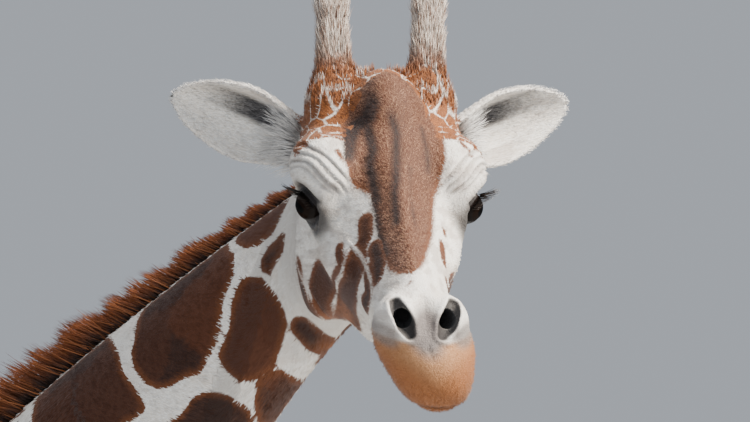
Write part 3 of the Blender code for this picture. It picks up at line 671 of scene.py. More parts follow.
# The head and the body are meshed apart and meet in a ring round the neck, square to it.
RING_PLACE = from_head([-0.1665, -0.103, -0.225])
RING_HALF_GAP = 0.004

HEAD_GRID = (
    graded(-0.36, 0.43, [(-0.26, 0.0032), (-0.20, 0.0026), (-0.035, 0.0024), (-0.02, 0.0020), (0.065, 0.0020),
                         (0.09, 0.0032), (0.26, 0.0032), (0.29, 0.0020)]),
    graded(-0.32, 0.32, [(-0.16, 0.0034), (-0.13, 0.0022), (0.13, 0.0022), (0.16, 0.0034)]),
    graded(-0.36, 0.31, [(-0.20, 0.0036), (-0.11, 0.0022), (0.10, 0.0022), (0.13, 0.0030)]),
)
BODY_GRID = (
    graded(-1.26, 1.90, [(1.05, 0.013), (1.20, 0.008)]),
    graded(-0.44, 0.44, [(-0.22, 0.013), (-0.12, 0.010), (0.12, 0.010), (0.22, 0.013)]),
    graded(0.03, 3.75, [(0.0, 0.011), (1.2, 0.013), (2.8, 0.013), (3.0, 0.008)]),
)


def keep_largest(shape):
    """Deletes all but the body with the most points."""
    left = set(shape.verts)
    bodies = []
    while left:
        body, edge = [], [left.pop()]
        while edge:
            vert = edge.pop()
            body.append(vert)
            near = {e.other_vert(vert) for e in vert.link_edges} & left
            left -= near
            edge.extend(near)
        bodies.append(body)
    for body in sorted(bodies, key=len)[:-1]:
        bmesh.ops.delete(shape, geom=body, context="VERTS")


def half_of_skin(points, quads, towards):
    """One half of the skin as a bmesh, cut square to the neck."""
    mesh = bpy.data.meshes.new("half")
    mesh.from_pydata(points, [], quads.tolist())
    shape = bmesh.new()
    shape.from_mesh(mesh)
    bpy.data.meshes.remove(mesh)
    everything = [*shape.verts, *shape.edges, *shape.faces]
    plane = {"plane_co": RING_PLACE - RING_HALF_GAP * towards, "plane_no": towards}
    bmesh.ops.bisect_plane(shape, geom=everything, dist=1e-6, clear_outer=True, **plane)
    keep_largest(shape)
    return shape


def skin_mesh():
    """The whole skin as one mesh in the body's axes."""
    places, quads = meshed(skin_at_head, HEAD_GRID)
    shape = half_of_skin(from_head(places), quads, -NECK_AIM)
    mesh = bpy.data.meshes.new("skin")
    shape.to_mesh(mesh)
    shape.free()
    shape = half_of_skin(*meshed(skin_distance, BODY_GRID), NECK_AIM)
    shape.from_mesh(mesh)
    rims = [edge for edge in shape.edges if edge.is_boundary]
    bmesh.ops.bridge_loops(shape, edges=rims)
    bmesh.ops.triangulate(shape, faces=shape.faces)
    bmesh.ops.recalc_face_normals(shape, faces=shape.faces)
    shape.to_mesh(mesh)
    shape.free()
    return mesh


# ---------------------------------------------------------------- regions and the lie of the coat

HEAD, NECK, TRUNK, TAIL = range(4)
LEGS = {leg: 4 + i for i, leg in enumerate(STAGGER)}
# The ears' open faces and backs, and the ossicones
EAR_FACES = {("left", "open"): 8, ("left", "back"): 9, ("right", "open"): 10, ("right", "back"): 11}
OSSICONES = {"left": 12, "right": 13}

POLL = np.array([-0.165, 0.0, -0.10])
POLL_AIM = unit([0.90, 0.20, 0.25])
LEG_TOP = 1.55
TAIL_ROOT = np.array([-1.02, 0.0, 2.05])


HEAD_ROOM = 0.62


def is_near_head(points, reach=HEAD_ROOM):
    return np.linalg.norm(points - HEAD_ORIGIN, axis=1) < reach


def neck_place(points):
    """Share of the way up the neck, and how far above and to the left of its line."""
    offset = points - NECK_BASE
    return offset @ NECK_AIM / NECK_LENGTH, offset @ NECK_UP, points[:, 1]


def ear_place(local):
    """Along the ear, across it and out of its open side, for the ear on the point's own side."""
    return ((paired(local) - EAR_ROOT) @ EAR_FRAME).T


def ossicone_place(local):
    """Share of the way up the ossicone and the distance from its axis, on the point's own side."""
    offset = paired(local) - OSSICONE_BASE
    along = offset @ OSSICONE_AIM
    return along / OSSICONE_LENGTH, np.linalg.norm(offset - along[:, None] * OSSICONE_AIM, axis=1)


def in_front_of_poll(local):
    return (local - POLL) @ POLL_AIM


def regions(points, normals):
    """Which region of the skin each point belongs to."""
    local = to_head(points)
    near_head = is_near_head(points)
    share = neck_place(points)[0]
    found = np.full(len(points), TRUNK)
    found[(share > 0.04) & (points[:, 0] > 0.45)] = NECK
    found[near_head & (in_front_of_poll(local) > 0)] = HEAD
    for leg, number in LEGS.items():
        x, y, side = foot_place(leg)
        beside = (np.abs(points[:, 0] - x) < 0.55) & (points[:, 1] * side > 0)
        found[beside & (points[:, 2] < LEG_TOP)] = number
    found[(points[:, 0] < TAIL_ROOT[0]) & (points[:, 2] < TAIL_ROOT[2])] = TAIL
    along, across, out = ear_place(local)
    on_ear = near_head & (along > 0.030) & (np.abs(across) < 0.08) & (np.abs(out) < 0.06)
    up, aside = ossicone_place(local)
    on_ossicone = near_head & (up > 0.15) & (aside < 0.06)
    facing = to_head(normals + HEAD_ORIGIN)
    for name, side in PAIR.items():
        here = local[:, 1] * side > 0
        opens = facing @ mirrored(EAR_FRAME[:, 2], side) > 0
        found[on_ear & here & opens] = EAR_FACES[name, "open"]
        found[on_ear & here & ~opens] = EAR_FACES[name, "back"]
        found[on_ossicone & here] = OSSICONES[name]
    return found


def coat_turns(points):
    """How the coat turns on its way over the body: its lie, where it starts to turn, and how far it has."""
    local = to_head(points)
    share = neck_place(points)[0]
    near_head = is_near_head(points)
    yield unit([-0.86, 0, -0.50]), NECK_BASE, np.ones(len(points))
    yield -NECK_AIM, NECK_BASE, ramp(share, 0.0, 0.25) * (points[:, 0] > 0.3)
    yield np.array([0, 0, -1.0]), np.array([0, 0, 1.7]), 1 - ramp(points[:, 2], 1.45, 1.85)
    yield np.array([0, 0, -1.0]), TAIL_ROOT, ramp(-points[:, 0], 1.00, 1.05)
    in_front = near_head * ramp(in_front_of_poll(local), -0.03, 0.06)
    yield HEAD_AXES @ unit([-0.93, 0, -0.30]), from_head(POLL), in_front
    along = ear_place(local)[0]
    up, aside = ossicone_place(local)
    for side in PAIR.values():
        here = near_head & (local[:, 1] * side > 0)
        root = from_head(mirrored(EAR_ROOT, side))
        yield HEAD_AXES @ mirrored(EAR_FRAME[:, 0], side), root, here * ramp(along, -0.01, 0.03)
        base = from_head(mirrored(OSSICONE_BASE, side))
        yield HEAD_AXES @ mirrored(OSSICONE_AIM, side), base, here * ramp(up, 0.05, 0.35) * (aside < 0.08)


STREAK = 0.88


def coat_place(points):
    """Places that are squeezed along the lie of the coat, so that noise read there makes streaks."""
    found = np.zeros((len(points), 3))
    for lie, start, weight in coat_turns(points):
        offset = points - start
        squeezed = offset - STREAK * (offset @ lie)[:, None] * lie
        found += weight[:, None] * (start + squeezed - found)
    return found


def lie_of_coat(points):
    found = np.zeros((len(points), 3))
    for lie, _, weight in coat_turns(points):
        found += weight[:, None] * (lie - found)
    return found / np.linalg.norm(found, axis=1)[:, None]


# ---------------------------------------------------------------- the unwrap for baking

# Where each region lies on the map: low corner, then high corner. The head takes two fifths of it.
EAR_ROOM, HORN_ROOM, LEG_ROOM = 0.16, 0.10, 0.12
CHARTS = {
    HEAD: (0.0, 0.36, 0.62, 1.0),
    NECK: (0.80, 0.36, 1.0, 0.68),
    TRUNK: (0.0, 0.0, 0.40, 0.36),
    TAIL: (0.88, 0.0, 0.94, 0.36),
    **{n: (0.40 + LEG_ROOM * i, 0.0, 0.52 + LEG_ROOM * i, 0.36) for i, n in enumerate(LEGS.values())},
    **{n: (0.62, 0.36 + EAR_ROOM * i, 0.80, 0.52 + EAR_ROOM * i) for i, n in enumerate(EAR_FACES.values())},
    **{n: (0.80 + HORN_ROOM * i, 0.68, 0.90 + HORN_ROOM * i, 1.0) for i, n in enumerate(OSSICONES.values())},
}
CHART_MARGIN = 0.04


def turn_of(a, b):
    """Turns round an axis, from -0.5 to 0.5, and 0 towards b."""
    return np.arctan2(a, b) / (2 * math.pi)


def unrolled(points, region):
    """Along the region's axis and round it, each from about 0 to 1."""
    local = to_head(points)
    if region == HEAD:
        x = local[:, 0]
        middle = np.interp(x, FACE_CURVE[:, 0], (FACE_CURVE[:, 1] + FACE_CURVE[:, 2]) / 2)
        height = local[:, 2] - middle
        inward = np.maximum(0, 0.055 - np.hypot(local[:, 1], height)) * ramp(x, 0.30, 0.36)
        return (x + 0.36 + 0.6 * inward) / 0.84, 0.5 + turn_of(local[:, 1], height)
    if region == NECK:
        share, up, side = neck_place(points)
        return (share + 0.1) / 1.2, 0.5 + turn_of(side / 0.1, up / 0.2)
    if region == TRUNK:
        height = points[:, 2] - 2.06
        inward = np.maximum(0, 0.3 - np.hypot(points[:, 1], height))
        ends = ramp(points[:, 0], 0.45, 0.65) - ramp(-points[:, 0], 0.75, 0.95)
        return (points[:, 0] + 0.5 * inward * ends + 1.25) / 2.25, 0.5 + turn_of(points[:, 1], height)
    if region == TAIL:
        return (points[:, 2] - 1.2) / 0.95, 0.5 + turn_of(points[:, 1], -1.07 - points[:, 0])
    if region in EAR_FACES.values():
        along, across, _ = ear_place(local)
        return along / EAR_LENGTH, 0.5 + across / 0.13
    if region in OSSICONES.values():
        offset = paired(local) - OSSICONE_BASE
        return offset @ OSSICONE_AIM / OSSICONE_LENGTH, 0.5 + turn_of(offset[:, 1], offset[:, 0])
    leg = list(LEGS)[list(LEGS.values()).index(region)]
    rows = np.array(leg_rows(leg))[::-1]
    middle_x, middle_y = (np.interp(points[:, 2], rows[:, 2], rows[:, i]) for i in (0, 1))
    side = foot_place(leg)[2]
    return points[:, 2] / 1.7, 0.5 + turn_of(points[:, 0] - middle_x, side * (points[:, 1] - middle_y))


def on_map(along, turn, region):
    """The place on the map of a place on the unrolled region."""
    low_u, low_v, high_u, high_v = CHARTS[region]
    inside = 1 - 2 * CHART_MARGIN
    u = low_u + (high_u - low_u) * (CHART_MARGIN + inside * np.clip(along, -0.02, 1.02))
    v = low_v + (high_v - low_v) * (CHART_MARGIN + inside * np.clip(turn, -0.03, 1.03))
    return np.column_stack([u, v])


def map_faces(points, faces, face_regions):
    """Map places for each corner of the faces. A face that crosses a seam runs on past its edge."""
    found = np.zeros((len(faces), faces.shape[1], 2))
    for region in np.unique(face_regions):
        here = face_regions == region
        corners = points[faces[here]]
        along, turn = unrolled(corners.reshape(-1, 3), region)
        turn = turn.reshape(corners.shape[:2])
        crosses = np.ptp(turn, axis=1) > 0.5
        turn[crosses] = np.where(turn[crosses] < 0.5, turn[crosses] + 1, turn[crosses])
        found[here] = on_map(along, turn.ravel(), region).reshape(*corners.shape[:2], 2)
    return found


# ---------------------------------------------------------------- markings

# Outlines of the patches on the right side of the upper neck: thousandths of the way up the neck, and
# millimetres over its line
NECK_PATCHES = [
    [(955, 86), (938, 77), (923, 83), (911, 100), (903, 123), (905, 150), (930, 190), (970, 180), (966, 105)],
    [(948, 66), (951, 57), (937, 43), (924, 36), (912, 30), (909, 48), (916, 62), (930, 67)],
    [(899, 106), (895, 95), (888, 82), (871, 71), (850, 51), (827, 28), (802, 26), (773, 43), (761, 55),
     (758, 78), (760, 110), (765, 133), (778, 155), (800, 190), (860, 180), (894, 140)],
    [(896, 65), (906, 45), (904, 13), (898, -13), (889, -33), (869, -48), (847, -50), (832, -48),
     (820, -31), (820, -5), (824, 16), (836, 27), (855, 41), (873, 58), (886, 67)],
    [(833, -44), (844, -50), (852, -56), (850, -72), (840, -95), (820, -112), (788, -115), (786, -92),
     (798, -74), (815, -60)],
    [(753, 175), (755, 151), (749, 121), (749, 88), (743, 58), (739, 53), (725, 55), (690, 70), (650, 110),
     (640, 170), (660, 230), (740, 230)],
    [(787, 5), (795, -5), (803, -30), (805, -57), (797, -72), (765, -80), (735, -50), (728, -5), (746, 18),
     (766, 5)],
]
# Down to here all the patches on the right side are drawn. Below, they are spread at random.
DRAWN_FROM = 0.735
# How far apart the other patches are, in the middle of each region
PATCH_SPACING = dict(neck=0.150, low_neck=0.185, trunk=0.205, thigh=0.155, leg=0.095, head=0.050, crown=0.028)
# The small patches of the crown lie this near to an ossicone's axis.
CROWN_REACH = 0.115
LINE_HALF_WIDTH = 0.011

# Blotches of the face: path and radius in millimetres in the head's axes, and how dark
BLOTCHES = [
    ([(112, -48, 10), (138, -52, -6), (147, -64, -30)], 15, 0.4),
    ([(110, -86, -30), (128, -82, -50)], 10.5, 0.6),
    ([(172, -44, -8), (205, -42, -20), (224, -45, -36)], 16.5, 0.95),
    ([(195, -52, -36), (224, -55, -62), (200, -58, -85)], 15, 0.95),
    ([(150, -64, -45), (140, -70, -70), (80, -66, -110), (20, -50, -155)], 33, 0.45),
    ([(24, -88, -105), (-10, -78, -145), (-40, -66, -182)], 31, 0.6),
    # This dark strip down the jaw's edge is a blotch that also holds painted shade in the fold between jaw
    # and neck
    ([(-62, -113, -112), (-50, -104, -150), (-60, -88, -185), (-78, -48, -228)], 14.5, 0.98),
    ([(-75, -12, -232), (-78, 10, -236)], 12, 0.6),
    ([(-110, -94, -220), (-118, -72, -244), (-138, -46, -260)], 19, 0.9),
    ([(102, 66, -4), (108, 68, -8)], 5, 0.3),
    ([(140, 62, -12), (168, 58, -28)], 11, 0.3),
    ([(70, 90, -90), (40, 94, -120)], 23, 0.5),
    ([(150, 70, -70), (120, 70, -110)], 20, 0.5),
    ([(-20, 105, -120), (-30, 90, -165)], 20, 0.6),
    ([(205, 54, -50), (180, 60, -85)], 11, 0.8),
    ([(-5, -80, 98), (4, -66, 96)], 4.5, 0.6),
    ([(-24, -96, 99), (-12, -84, 101)], 5.5, 0.5),
    ([(30, -82, 88), (45, -74, 80)], 4.5, 0.8),
    ([(-35, 90, 99), (-22, 96, 99)], 6.5, 0.3),
    ([(1, 98, 97), (12, 105, 92)], 4.5, 0.3),
    ([(16, 110, 89), (24, 112, 83)], 3.5, 0.3),
    ([(270, 4, -12), (282, -4, -14)], 4, 0.15),
    ([(300, -12, -16), (305, -18, -18)], 3, 0.15),
    ([(310, -30, -20), (318, -36, -24)], 3, 0.15),
]
# The lower ends of the big blotches glow orange: path and radius in millimetres.
GLOWS = [
    ([(10, -46, -168), (45, -52, -140)], 13),
    ([(-30, -68, -178), (-50, -68, -200)], 8),
    ([(-125, -62, -250), (-145, -40, -262)], 10),
]
# The brown of the forehead runs down the nose: forward, middle line and half-width in millimetres.
FOREHEAD = [
    (-260, 0, 40), (-160, 0, 46), (-100, 3, 52), (-70, 8, 61), (-45, 2, 73), (3, 2, 74), (40, -1, 74),
    (54, -1, 66), (67, 3, 53), (82, 6, 47), (120, 4, 43), (162, 0, 39), (207, -5, 32), (241, -8, 26),
    (268, -8, 16), (285, -8, 0),
]
FOREHEAD_BACK, FOREHEAD_FRONT = -0.25, 0.285
# Painted shadows across it, dark streaks where shade falls on the brown: path and radius in millimetres
FOREHEAD_SHADOWS = [
    ([(-70, -18, 150), (-36, -23, 136), (-24, -32, 121), (-25, -52, 106), (2, -64, 95), (32, -70, 86)], 15),
    ([(-60, -10, 152), (-9, 1, 121), (7, 5, 108), (35, 1, 92), (81, -4, 65), (110, -10, 50), (160, -12, 24)],
     7.5),
    ([(-11, -34, 111), (27, -31, 90), (46, -37, 72), (63, -35, 59), (100, -34, 36)], 9.5),
    ([(90, -36, 36), (160, -35, 2), (205, -28, -10)], 7),
    ([(-21, 45, 109), (15, 47, 92), (50, 47, 68)], 4),
    ([(60, 20, 75), (120, 16, 45), (180, 8, 12)], 3),
]


WAVES, WAVE_SIZE, WAVE_LENGTH = 6, 0.007, 0.10


def wavered(points, rng):
    """The points moved a little by slow waves, which makes the borders of the patches uneven."""
    moved = points.copy()
    for _ in range(WAVES):
        wave = rng.normal(size=3) * 2 * math.pi / WAVE_LENGTH
        sway = WAVE_SIZE / 2 * rng.normal(size=3)
        moved += sway * np.sin(points @ wave + rng.uniform(0, 2 * math.pi))[:, None]
    return moved


def spacing_at(points):
    """How far apart the patches are at each point."""
    local = to_head(points)
    share = neck_place(points)[0]
    z = points[:, 2]
    size = np.full(len(points), PATCH_SPACING["trunk"])
    size += ramp(share, -0.05, 0.25) * (points[:, 0] > 0.3) * (PATCH_SPACING["low_neck"] - size)
    size += ramp(share, 0.4, 0.7) * (points[:, 0] > 0.3) * (PATCH_SPACING["neck"] - size)
    size += (1 - ramp(z, 1.55, 1.95)) * (PATCH_SPACING["thigh"] - size)
    size += (1 - ramp(z, 0.8, 1.5)) * (PATCH_SPACING["leg"] - size)
    near_head = is_near_head(points, 0.55)
    size += near_head * ramp(in_front_of_poll(local), -0.04, 0.03) * (PATCH_SPACING["head"] - size)
    up, aside = ossicone_place(local)
    return np.where(near_head & (aside < CROWN_REACH) & (up > -0.4), PATCH_SPACING["crown"], size)


# How many points are tried as the middle of a patch, and how near two may be, as a share of their spacing
SEED_POOL, SEED_GAP = 40000, 0.82


def seeds_on_skin(points, normals, rng):
    """Middles of the patches, spread at random but evenly over the skin, and the way out of each."""
    pool = rng.permutation(len(points))[:SEED_POOL]
    rough, sizes = points[pool], spacing_at(points[pool])
    chosen, middles = [0], rough[:1]
    for i in range(1, len(rough)):
        if (np.linalg.norm(middles - rough[i], axis=1) > SEED_GAP * sizes[i]).all():
            middles = np.vstack([middles, rough[i]])
            chosen.append(i)
    return middles, normals[pool[chosen]]


# What keeps a patch from wrapping round a thin limb: the cost of facing another way, in square metres
TURN_COST = 0.016


def patch_edges(points, normals, seeds, facing):
    """Distance in from the edge of the patch that each point is in, and that patch's number."""
    apart = np.linalg.norm(seeds[:, None] - seeds[None], axis=2) + 1e-6

    def work(some):
        place, out = some[:, :3], some[:, 3:]
        reach = ((place[:, None] - seeds) ** 2).sum(2) + TURN_COST * (1 - out @ facing.T)
        nearest = reach.argmin(1)
        rows = np.arange(len(some))
        border = (reach - reach[rows, nearest][:, None]) / (2 * apart[nearest])
        border[rows, nearest] = np.inf
        return np.column_stack([border.min(1), nearest])

    found = in_chunks(work, np.hstack([points, normals]))
    return found[:, 0], found[:, 1].astype(int)


def inside_outline(places, outline):
    """Distance in from a closed outline in the plane, less than 0 outside it."""
    corners = mm(outline) * [NECK_LENGTH, 1]
    nearest, crossings = np.full(len(places), np.inf), np.zeros(len(places))
    for start, end in zip(corners, np.roll(corners, -1, axis=0)):
        offset, run = places - start, end - start
        share = np.clip(offset @ run / (run @ run), 0, 1)
        nearest = np.minimum(nearest, np.linalg.norm(offset - share[:, None] * run, axis=1))
        spans = (start[1] > places[:, 1]) != (end[1] > places[:, 1])
        crossings += spans & (offset[:, 0] < run[0] * offset[:, 1] / (run[1] + 1e-12))
    return np.where(crossings % 2 == 1, nearest, -nearest)


def drawn_patches(points):
    """Distance in from the drawn patches of the neck's right side, and how far from them others may lie."""
    share, up, side = neck_place(points)
    near = np.flatnonzero((share > 0.55) & (side < 0.12))
    places = np.column_stack([share[near] * NECK_LENGTH, up[near]])
    inside = np.max([inside_outline(places, outline) for outline in NECK_PATCHES], axis=0)
    inside = np.minimum(inside, 0.5 * (0.02 - side[near]))
    drawn, free = np.full(len(points), -0.05), np.full(len(points), 0.05)
    drawn[near] = inside
    free[near] = np.minimum(-inside - 0.022, np.maximum(side[near], (DRAWN_FROM - share[near]) * NECK_LENGTH))
    return drawn, free


def strokes(local, rows):
    """Distance in from the edge of the nearest stroke, at least -0.05, and that stroke's last value."""
    found = np.full(len(local), -0.05)
    last = np.zeros(len(local))
    for path, radius, *value in rows:
        inside = radius / 1000 - along_path(local, mm(path))
        last = np.where(inside > found, value or 0, last)
        found = np.maximum(found, inside)
    return found, last


def forehead_distance(local):
    """Distance in from the edge of the brown on the forehead and nose."""
    forward, middle, half = mm(FOREHEAD).T
    x = local[:, 0]
    aside = np.abs(local[:, 1] - np.interp(x, forward, middle))
    centre = np.interp(x, FACE_CURVE[:, 0], (FACE_CURVE[:, 1] + FACE_CURVE[:, 2]) / 2)
    inside = 0.8 * (np.interp(x, forward, half) - aside)
    return np.min([inside, local[:, 2] - centre, FOREHEAD_FRONT - x, x - FOREHEAD_BACK], axis=0)


# The line down the nape, and the pale lines beside the veins of the cheek, are this wide to each side.
NAPE_HALF_WIDTH, VEIN_LINE = 0.022, 0.0026


def body_patches(points, normals, crown, rng):
    """Distance in from the edge of the patch that each point is in, all over the body, and how dark it is."""
    seeds, facing = seeds_on_skin(points, normals, rng)
    moved = wavered(points, rng)
    edge, number = patch_edges(moved, normals, seeds, facing)
    patch = edge - LINE_HALF_WIDTH * np.clip(spacing_at(points) / PATCH_SPACING["neck"], 0.24, 1.15)
    drawn, free = drawn_patches(points + 0.35 * (moved - points))
    patch = np.maximum(drawn, np.where(crown > 0, patch, np.minimum(patch, free)))
    tone = rng.uniform(0, 1, len(seeds))[number]
    share, up, side = neck_place(points)
    nape = (share > -0.1) & (up > 0) & (normals @ NECK_UP > 0)
    patch = np.where(nape & (crown < 0), np.minimum(patch, np.abs(side) - NAPE_HALF_WIDTH), patch)
    # Patches fade out below the knees and hocks, under the belly and inside the legs.
    z = points[:, 2]
    inner = np.sign(points[:, 1]) * normals[:, 1]
    patch -= 0.06 * (1 - ramp(z, 0.42, 0.92))
    patch -= 0.035 * ramp(-inner, 0.1, 0.7) * (1 - ramp(z, 1.5, 1.7))
    patch -= 0.035 * ramp(-normals[:, 2], 0.55, 0.95) * (z < 2.0) * (z > 1.3)
    patch[points[:, 0] < -1.03] -= 0.02
    return patch, tone


def markings(points, normals):
    """The attributes that colour the skin, by name, each from 0 to 1 apart from patch, in metres."""
    local = to_head(points)
    near_head = is_near_head(points)
    region = regions(points, normals)
    on_ear = np.isin(region, list(EAR_FACES.values()))
    on_head = near_head & (in_front_of_poll(local) > 0) | on_ear | np.isin(region, list(OSSICONES.values()))
    up, aside = ossicone_place(local)
    crown = np.min([CROWN_REACH - aside, -0.004 - local[:, 0], local[:, 2] - 0.066], axis=0)
    crown = crown - 0.2 * ~near_head
    patch, tone = body_patches(points, normals, crown, np.random.default_rng(7))

    # The face is pale but for its blotches. Patches are left behind the cheek and round the ossicones.
    behind = -0.085 - local[:, 0] + 0.10 * np.minimum(local[:, 2] + 0.05, 0)
    spotted = np.maximum(np.minimum(crown, 0.02), behind - 0.012)
    patch = np.where(on_head, np.minimum(patch, spotted), patch)
    patch = np.where(on_ear, -0.05, patch)
    face, depth = strokes(local, BLOTCHES)
    veins = np.min([along_path(local, path) for path in VEIN_CURVES], axis=0)
    face = np.minimum(face, veins - VEIN_LINE)
    over = near_head & (face > patch)
    patch, tone = np.where(over, face, patch), np.where(over, depth, tone)
    forehead = forehead_distance(local)
    ridge = on_head & (forehead > patch) & (aside > 0.056 + 0.10 * np.maximum(up, 0))
    patch, tone = np.where(ridge, forehead, patch), np.where(ridge, 0.45, tone)
    rust = near_head * ~on_ear * ramp(crown, -0.005, 0.005)
    glow = near_head * ramp(strokes(local, GLOWS)[0], -0.016, 0.012)
    # Painted shadows that fall across the forehead's brown
    streak = ramp(strokes(local, FOREHEAD_SHADOWS)[0], -0.006, 0.008)
    return {
        "patch": np.clip(patch, -0.05, 0.05),
        "tone": tone,
        "rust": np.maximum(rust, glow),
        "streak": np.where(ridge, streak, 0),
        "grizzle": np.where(ridge, ramp(forehead, 0.0, 0.010), 0),
        "face": near_head * ramp(in_front_of_poll(local), 0.0, 0.04),
        # Painted shade in the wrinkles of the brow, the crease over the lid and the trough under the eye
        "crease": near_head * np.clip(wrinkles(paired(local)) / WRINKLE_DEPTH, 0, 1),
        **face_skin(local, on_head),
        "fade": near_head * ramp(up, 0.30, 0.55) * (aside < 0.07),
    }


def face_skin(local, on_head):
    """Where the face is tan, grey or dark, and where shade is painted in the nostrils, along the mouth, below
    the nostrils' wings, on the right side of her lips and in the ears' cups.
    """
    local = lips_straight(local)
    pair = paired(local)
    x, y, z = pair.T
    offset = pair - EYE_PLACE
    ahead, above = offset @ EYE_ALONG, offset @ EYE_UP
    rim = np.hypot(ahead / 0.029, (above + 0.004) / 0.0255)
    shaded = np.hypot(ahead / np.where(ahead > 0, 0.056, 0.034), above / np.where(above > 0, 0.036, 0.044))
    around_eye = np.maximum(1 - ramp(rim, 1.0, 1.25), 0.92 * (1 - ramp(shaded, 0.78, 1.28)))
    around_eye *= np.linalg.norm(offset, axis=1) < 0.08
    slit = np.where(x > 0.28, np.minimum(sweep(pair, SLIT_CURVE), 1), 1)
    hole = np.where(x > 0.28, sweep(pair, HOLLOW_CURVE), 1)
    # Dark skin at the nostrils' rims, and painted shade inside them
    nostril = 1 - ramp(np.minimum(slit, hole), 0.0010, 0.0042)
    # A line of painted shade where the lips part
    mouth = (1 - ramp(np.abs(z - mouth_height(x)), 0.0008, 0.0026)) * ramp(x, 0.20, 0.24)
    along, across, out = ear_place(local)
    share = along / EAR_LENGTH
    # Painted shade in the ear's cup, under its upper rim
    rim_shadow = ramp(share, 0.08, 0.20) * (1 - ramp(share, 0.45, 0.95))
    rim_shadow *= 1 - ramp(np.abs(across - 0.005 - 0.026 * share), 0.013, 0.028)
    lips = ramp(-z, 0.066, 0.086) * ramp(x, 0.245, 0.30)
    # Deeper tan towards the lips' lower edge, their own colour, and on her right side, painted shade
    deep_and_shaded = np.maximum(ramp(-z + 0.55 * y, 0.080, 0.160), 0.55 * ramp(-local[:, 1], 0.015, 0.050))
    lips *= 0.50 + 0.50 * deep_and_shaded
    nose = (1 - ramp(np.hypot(y / 0.030, (z + 0.062) / 0.034), 0.5, 1.25)) * ramp(x, 0.33, 0.36)
    # Painted shade below each nostril's wing, in the grey of the nose
    wing_shade = (1 - ramp(np.hypot((y - 0.056) / 0.022, (z + 0.070) / 0.020), 0.5, 1.2)) * ramp(x, 0.31, 0.34)
    return {
        "tan": on_head * lips * (1 - nostril),
        "grey": on_head * np.maximum(nose, 0.8 * wing_shade),
        "dark_skin_and_shade": on_head * np.maximum(np.maximum(around_eye, nostril), np.maximum(0.75 * mouth, 0)),
        "ear_shade": (along > -0.01) * rim_shadow * (out < 0.02) * (np.abs(out) < 0.06),
    }


# ---------------------------------------------------------------- meshes with their attributes

@dataclass
class Skin:
    """The skin as arrays, in the body's axes: its points, triangles, marks and map."""

    points: np.ndarray
    normals: np.ndarray
    faces: np.ndarray
    marks: dict
    chart: np.ndarray
    region: np.ndarray


@dataclass
class Roots:
    """Places on the skin that hairs grow from, with the marks and the place on the map of each."""

    place: np.ndarray
    out: np.ndarray
    marks: dict
    chart: np.ndarray

    def __len__(self):
        return len(self.place)


def read(items, field, width, kind=float):
    found = np.zeros(len(items) * width, kind)
    items.foreach_get(field, found)
    return found.reshape(-1, width)


def rowwise_unit(vectors):
    return vectors / np.maximum(np.linalg.norm(vectors, axis=1), 1e-9)[:, None]


def joined_mesh(name, points, faces):
    """A mesh from arrays of points and of faces with three or four corners each."""
    mesh = bpy.data.meshes.new(name)
    mesh.vertices.add(len(points))
    mesh.vertices.foreach_set("co", (points + SHIFT).ravel())
    corners = np.concatenate([block.ravel() for block in faces])
    sizes = np.concatenate([np.full(len(block), block.shape[1]) for block in faces])
    mesh.loops.add(len(corners))
    mesh.loops.foreach_set("vertex_index", corners.astype(np.int32))
    mesh.polygons.add(len(sizes))
    mesh.polygons.foreach_set("loop_start", (np.cumsum(sizes) - sizes).astype(np.int32))
    mesh.update(calc_edges=True)
    mesh.shade_smooth()
    return mesh


def give_marks(mesh, marks):
    for name, values in marks.items():
        if values.ndim == 1:
            mesh.attributes.new(name, "FLOAT", "POINT").data.foreach_set("value", values.astype(np.float32))
        else:
            flat = values.astype(np.float32).ravel()
            mesh.attributes.new(name, "FLOAT_VECTOR", "POINT").data.foreach_set("vector", flat)


def give_map(mesh, corners):
    mesh.uv_layers.new(name="OFBake").data.foreach_set("uv", corners.astype(np.float32).ravel())


def in_scene(name, data, location=(0, 0, 0), back=None):
    """A new object in the scene. With back, its own Z axis points that way."""
    thing = bpy.data.objects.new(name, data)
    thing.location = location
    if back is not None:
        thing.rotation_euler = Vector(back).to_track_quat("Z", "Y").to_euler()
    bpy.context.scene.collection.objects.link(thing)
    return thing


def piece(mesh, paint):
    """Puts a mesh in the scene as a piece of the giraffe."""
    mesh.materials.append(paint)
    thing = in_scene(mesh.name, mesh)
    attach(thing, "root")
    return thing


# ---------------------------------------------------------------- skin

def add_skin(paint):
    mesh = skin_mesh()
    points, normals = read(mesh.vertices, "co", 3), read(mesh.vertex_normals, "vector", 3)
    faces = read(mesh.polygons, "vertices", 3, int)
    middles = points[faces].mean(1)
    region = regions(middles, rowwise_unit(normals[faces].sum(1)))
    chart = map_faces(points, faces, region)
    marks = markings(points, normals)
    marks["coat"] = coat_place(points)
    bpy.data.meshes.remove(mesh)
    skin = joined_mesh("skin", points, [faces])
    give_marks(skin, marks)
    give_map(skin, chart)
    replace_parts(piece(skin, paint), *FLESH_NODES)
    return Skin(points, normals, faces, marks, chart, region)


# ---------------------------------------------------------------- hair

def scattered(skin, weights, count, rng):
    """Roots spread at random over the skin. A face gets its share by area times weight."""
    corners = skin.points[skin.faces]
    area = np.linalg.norm(np.cross(corners[:, 1] - corners[:, 0], corners[:, 2] - corners[:, 0]), axis=1)
    chance = area * weights
    face = rng.choice(len(chance), count, p=chance / chance.sum())
    share = rng.dirichlet([1, 1, 1], count)

    def mixed(values):
        return np.einsum("nk,nk...->n...", share, values)

    index = skin.faces[face]
    marks = {name: mixed(values[index]) for name, values in skin.marks.items()}
    out = rowwise_unit(mixed(skin.normals[index]))
    return Roots(mixed(corners[face]), out, marks, mixed(skin.chart[face]))


# The patch of a lock on the map, and the thickness of most locks as a share of their width
TUFT_PATCH, FLATNESS = 0.003, 0.4


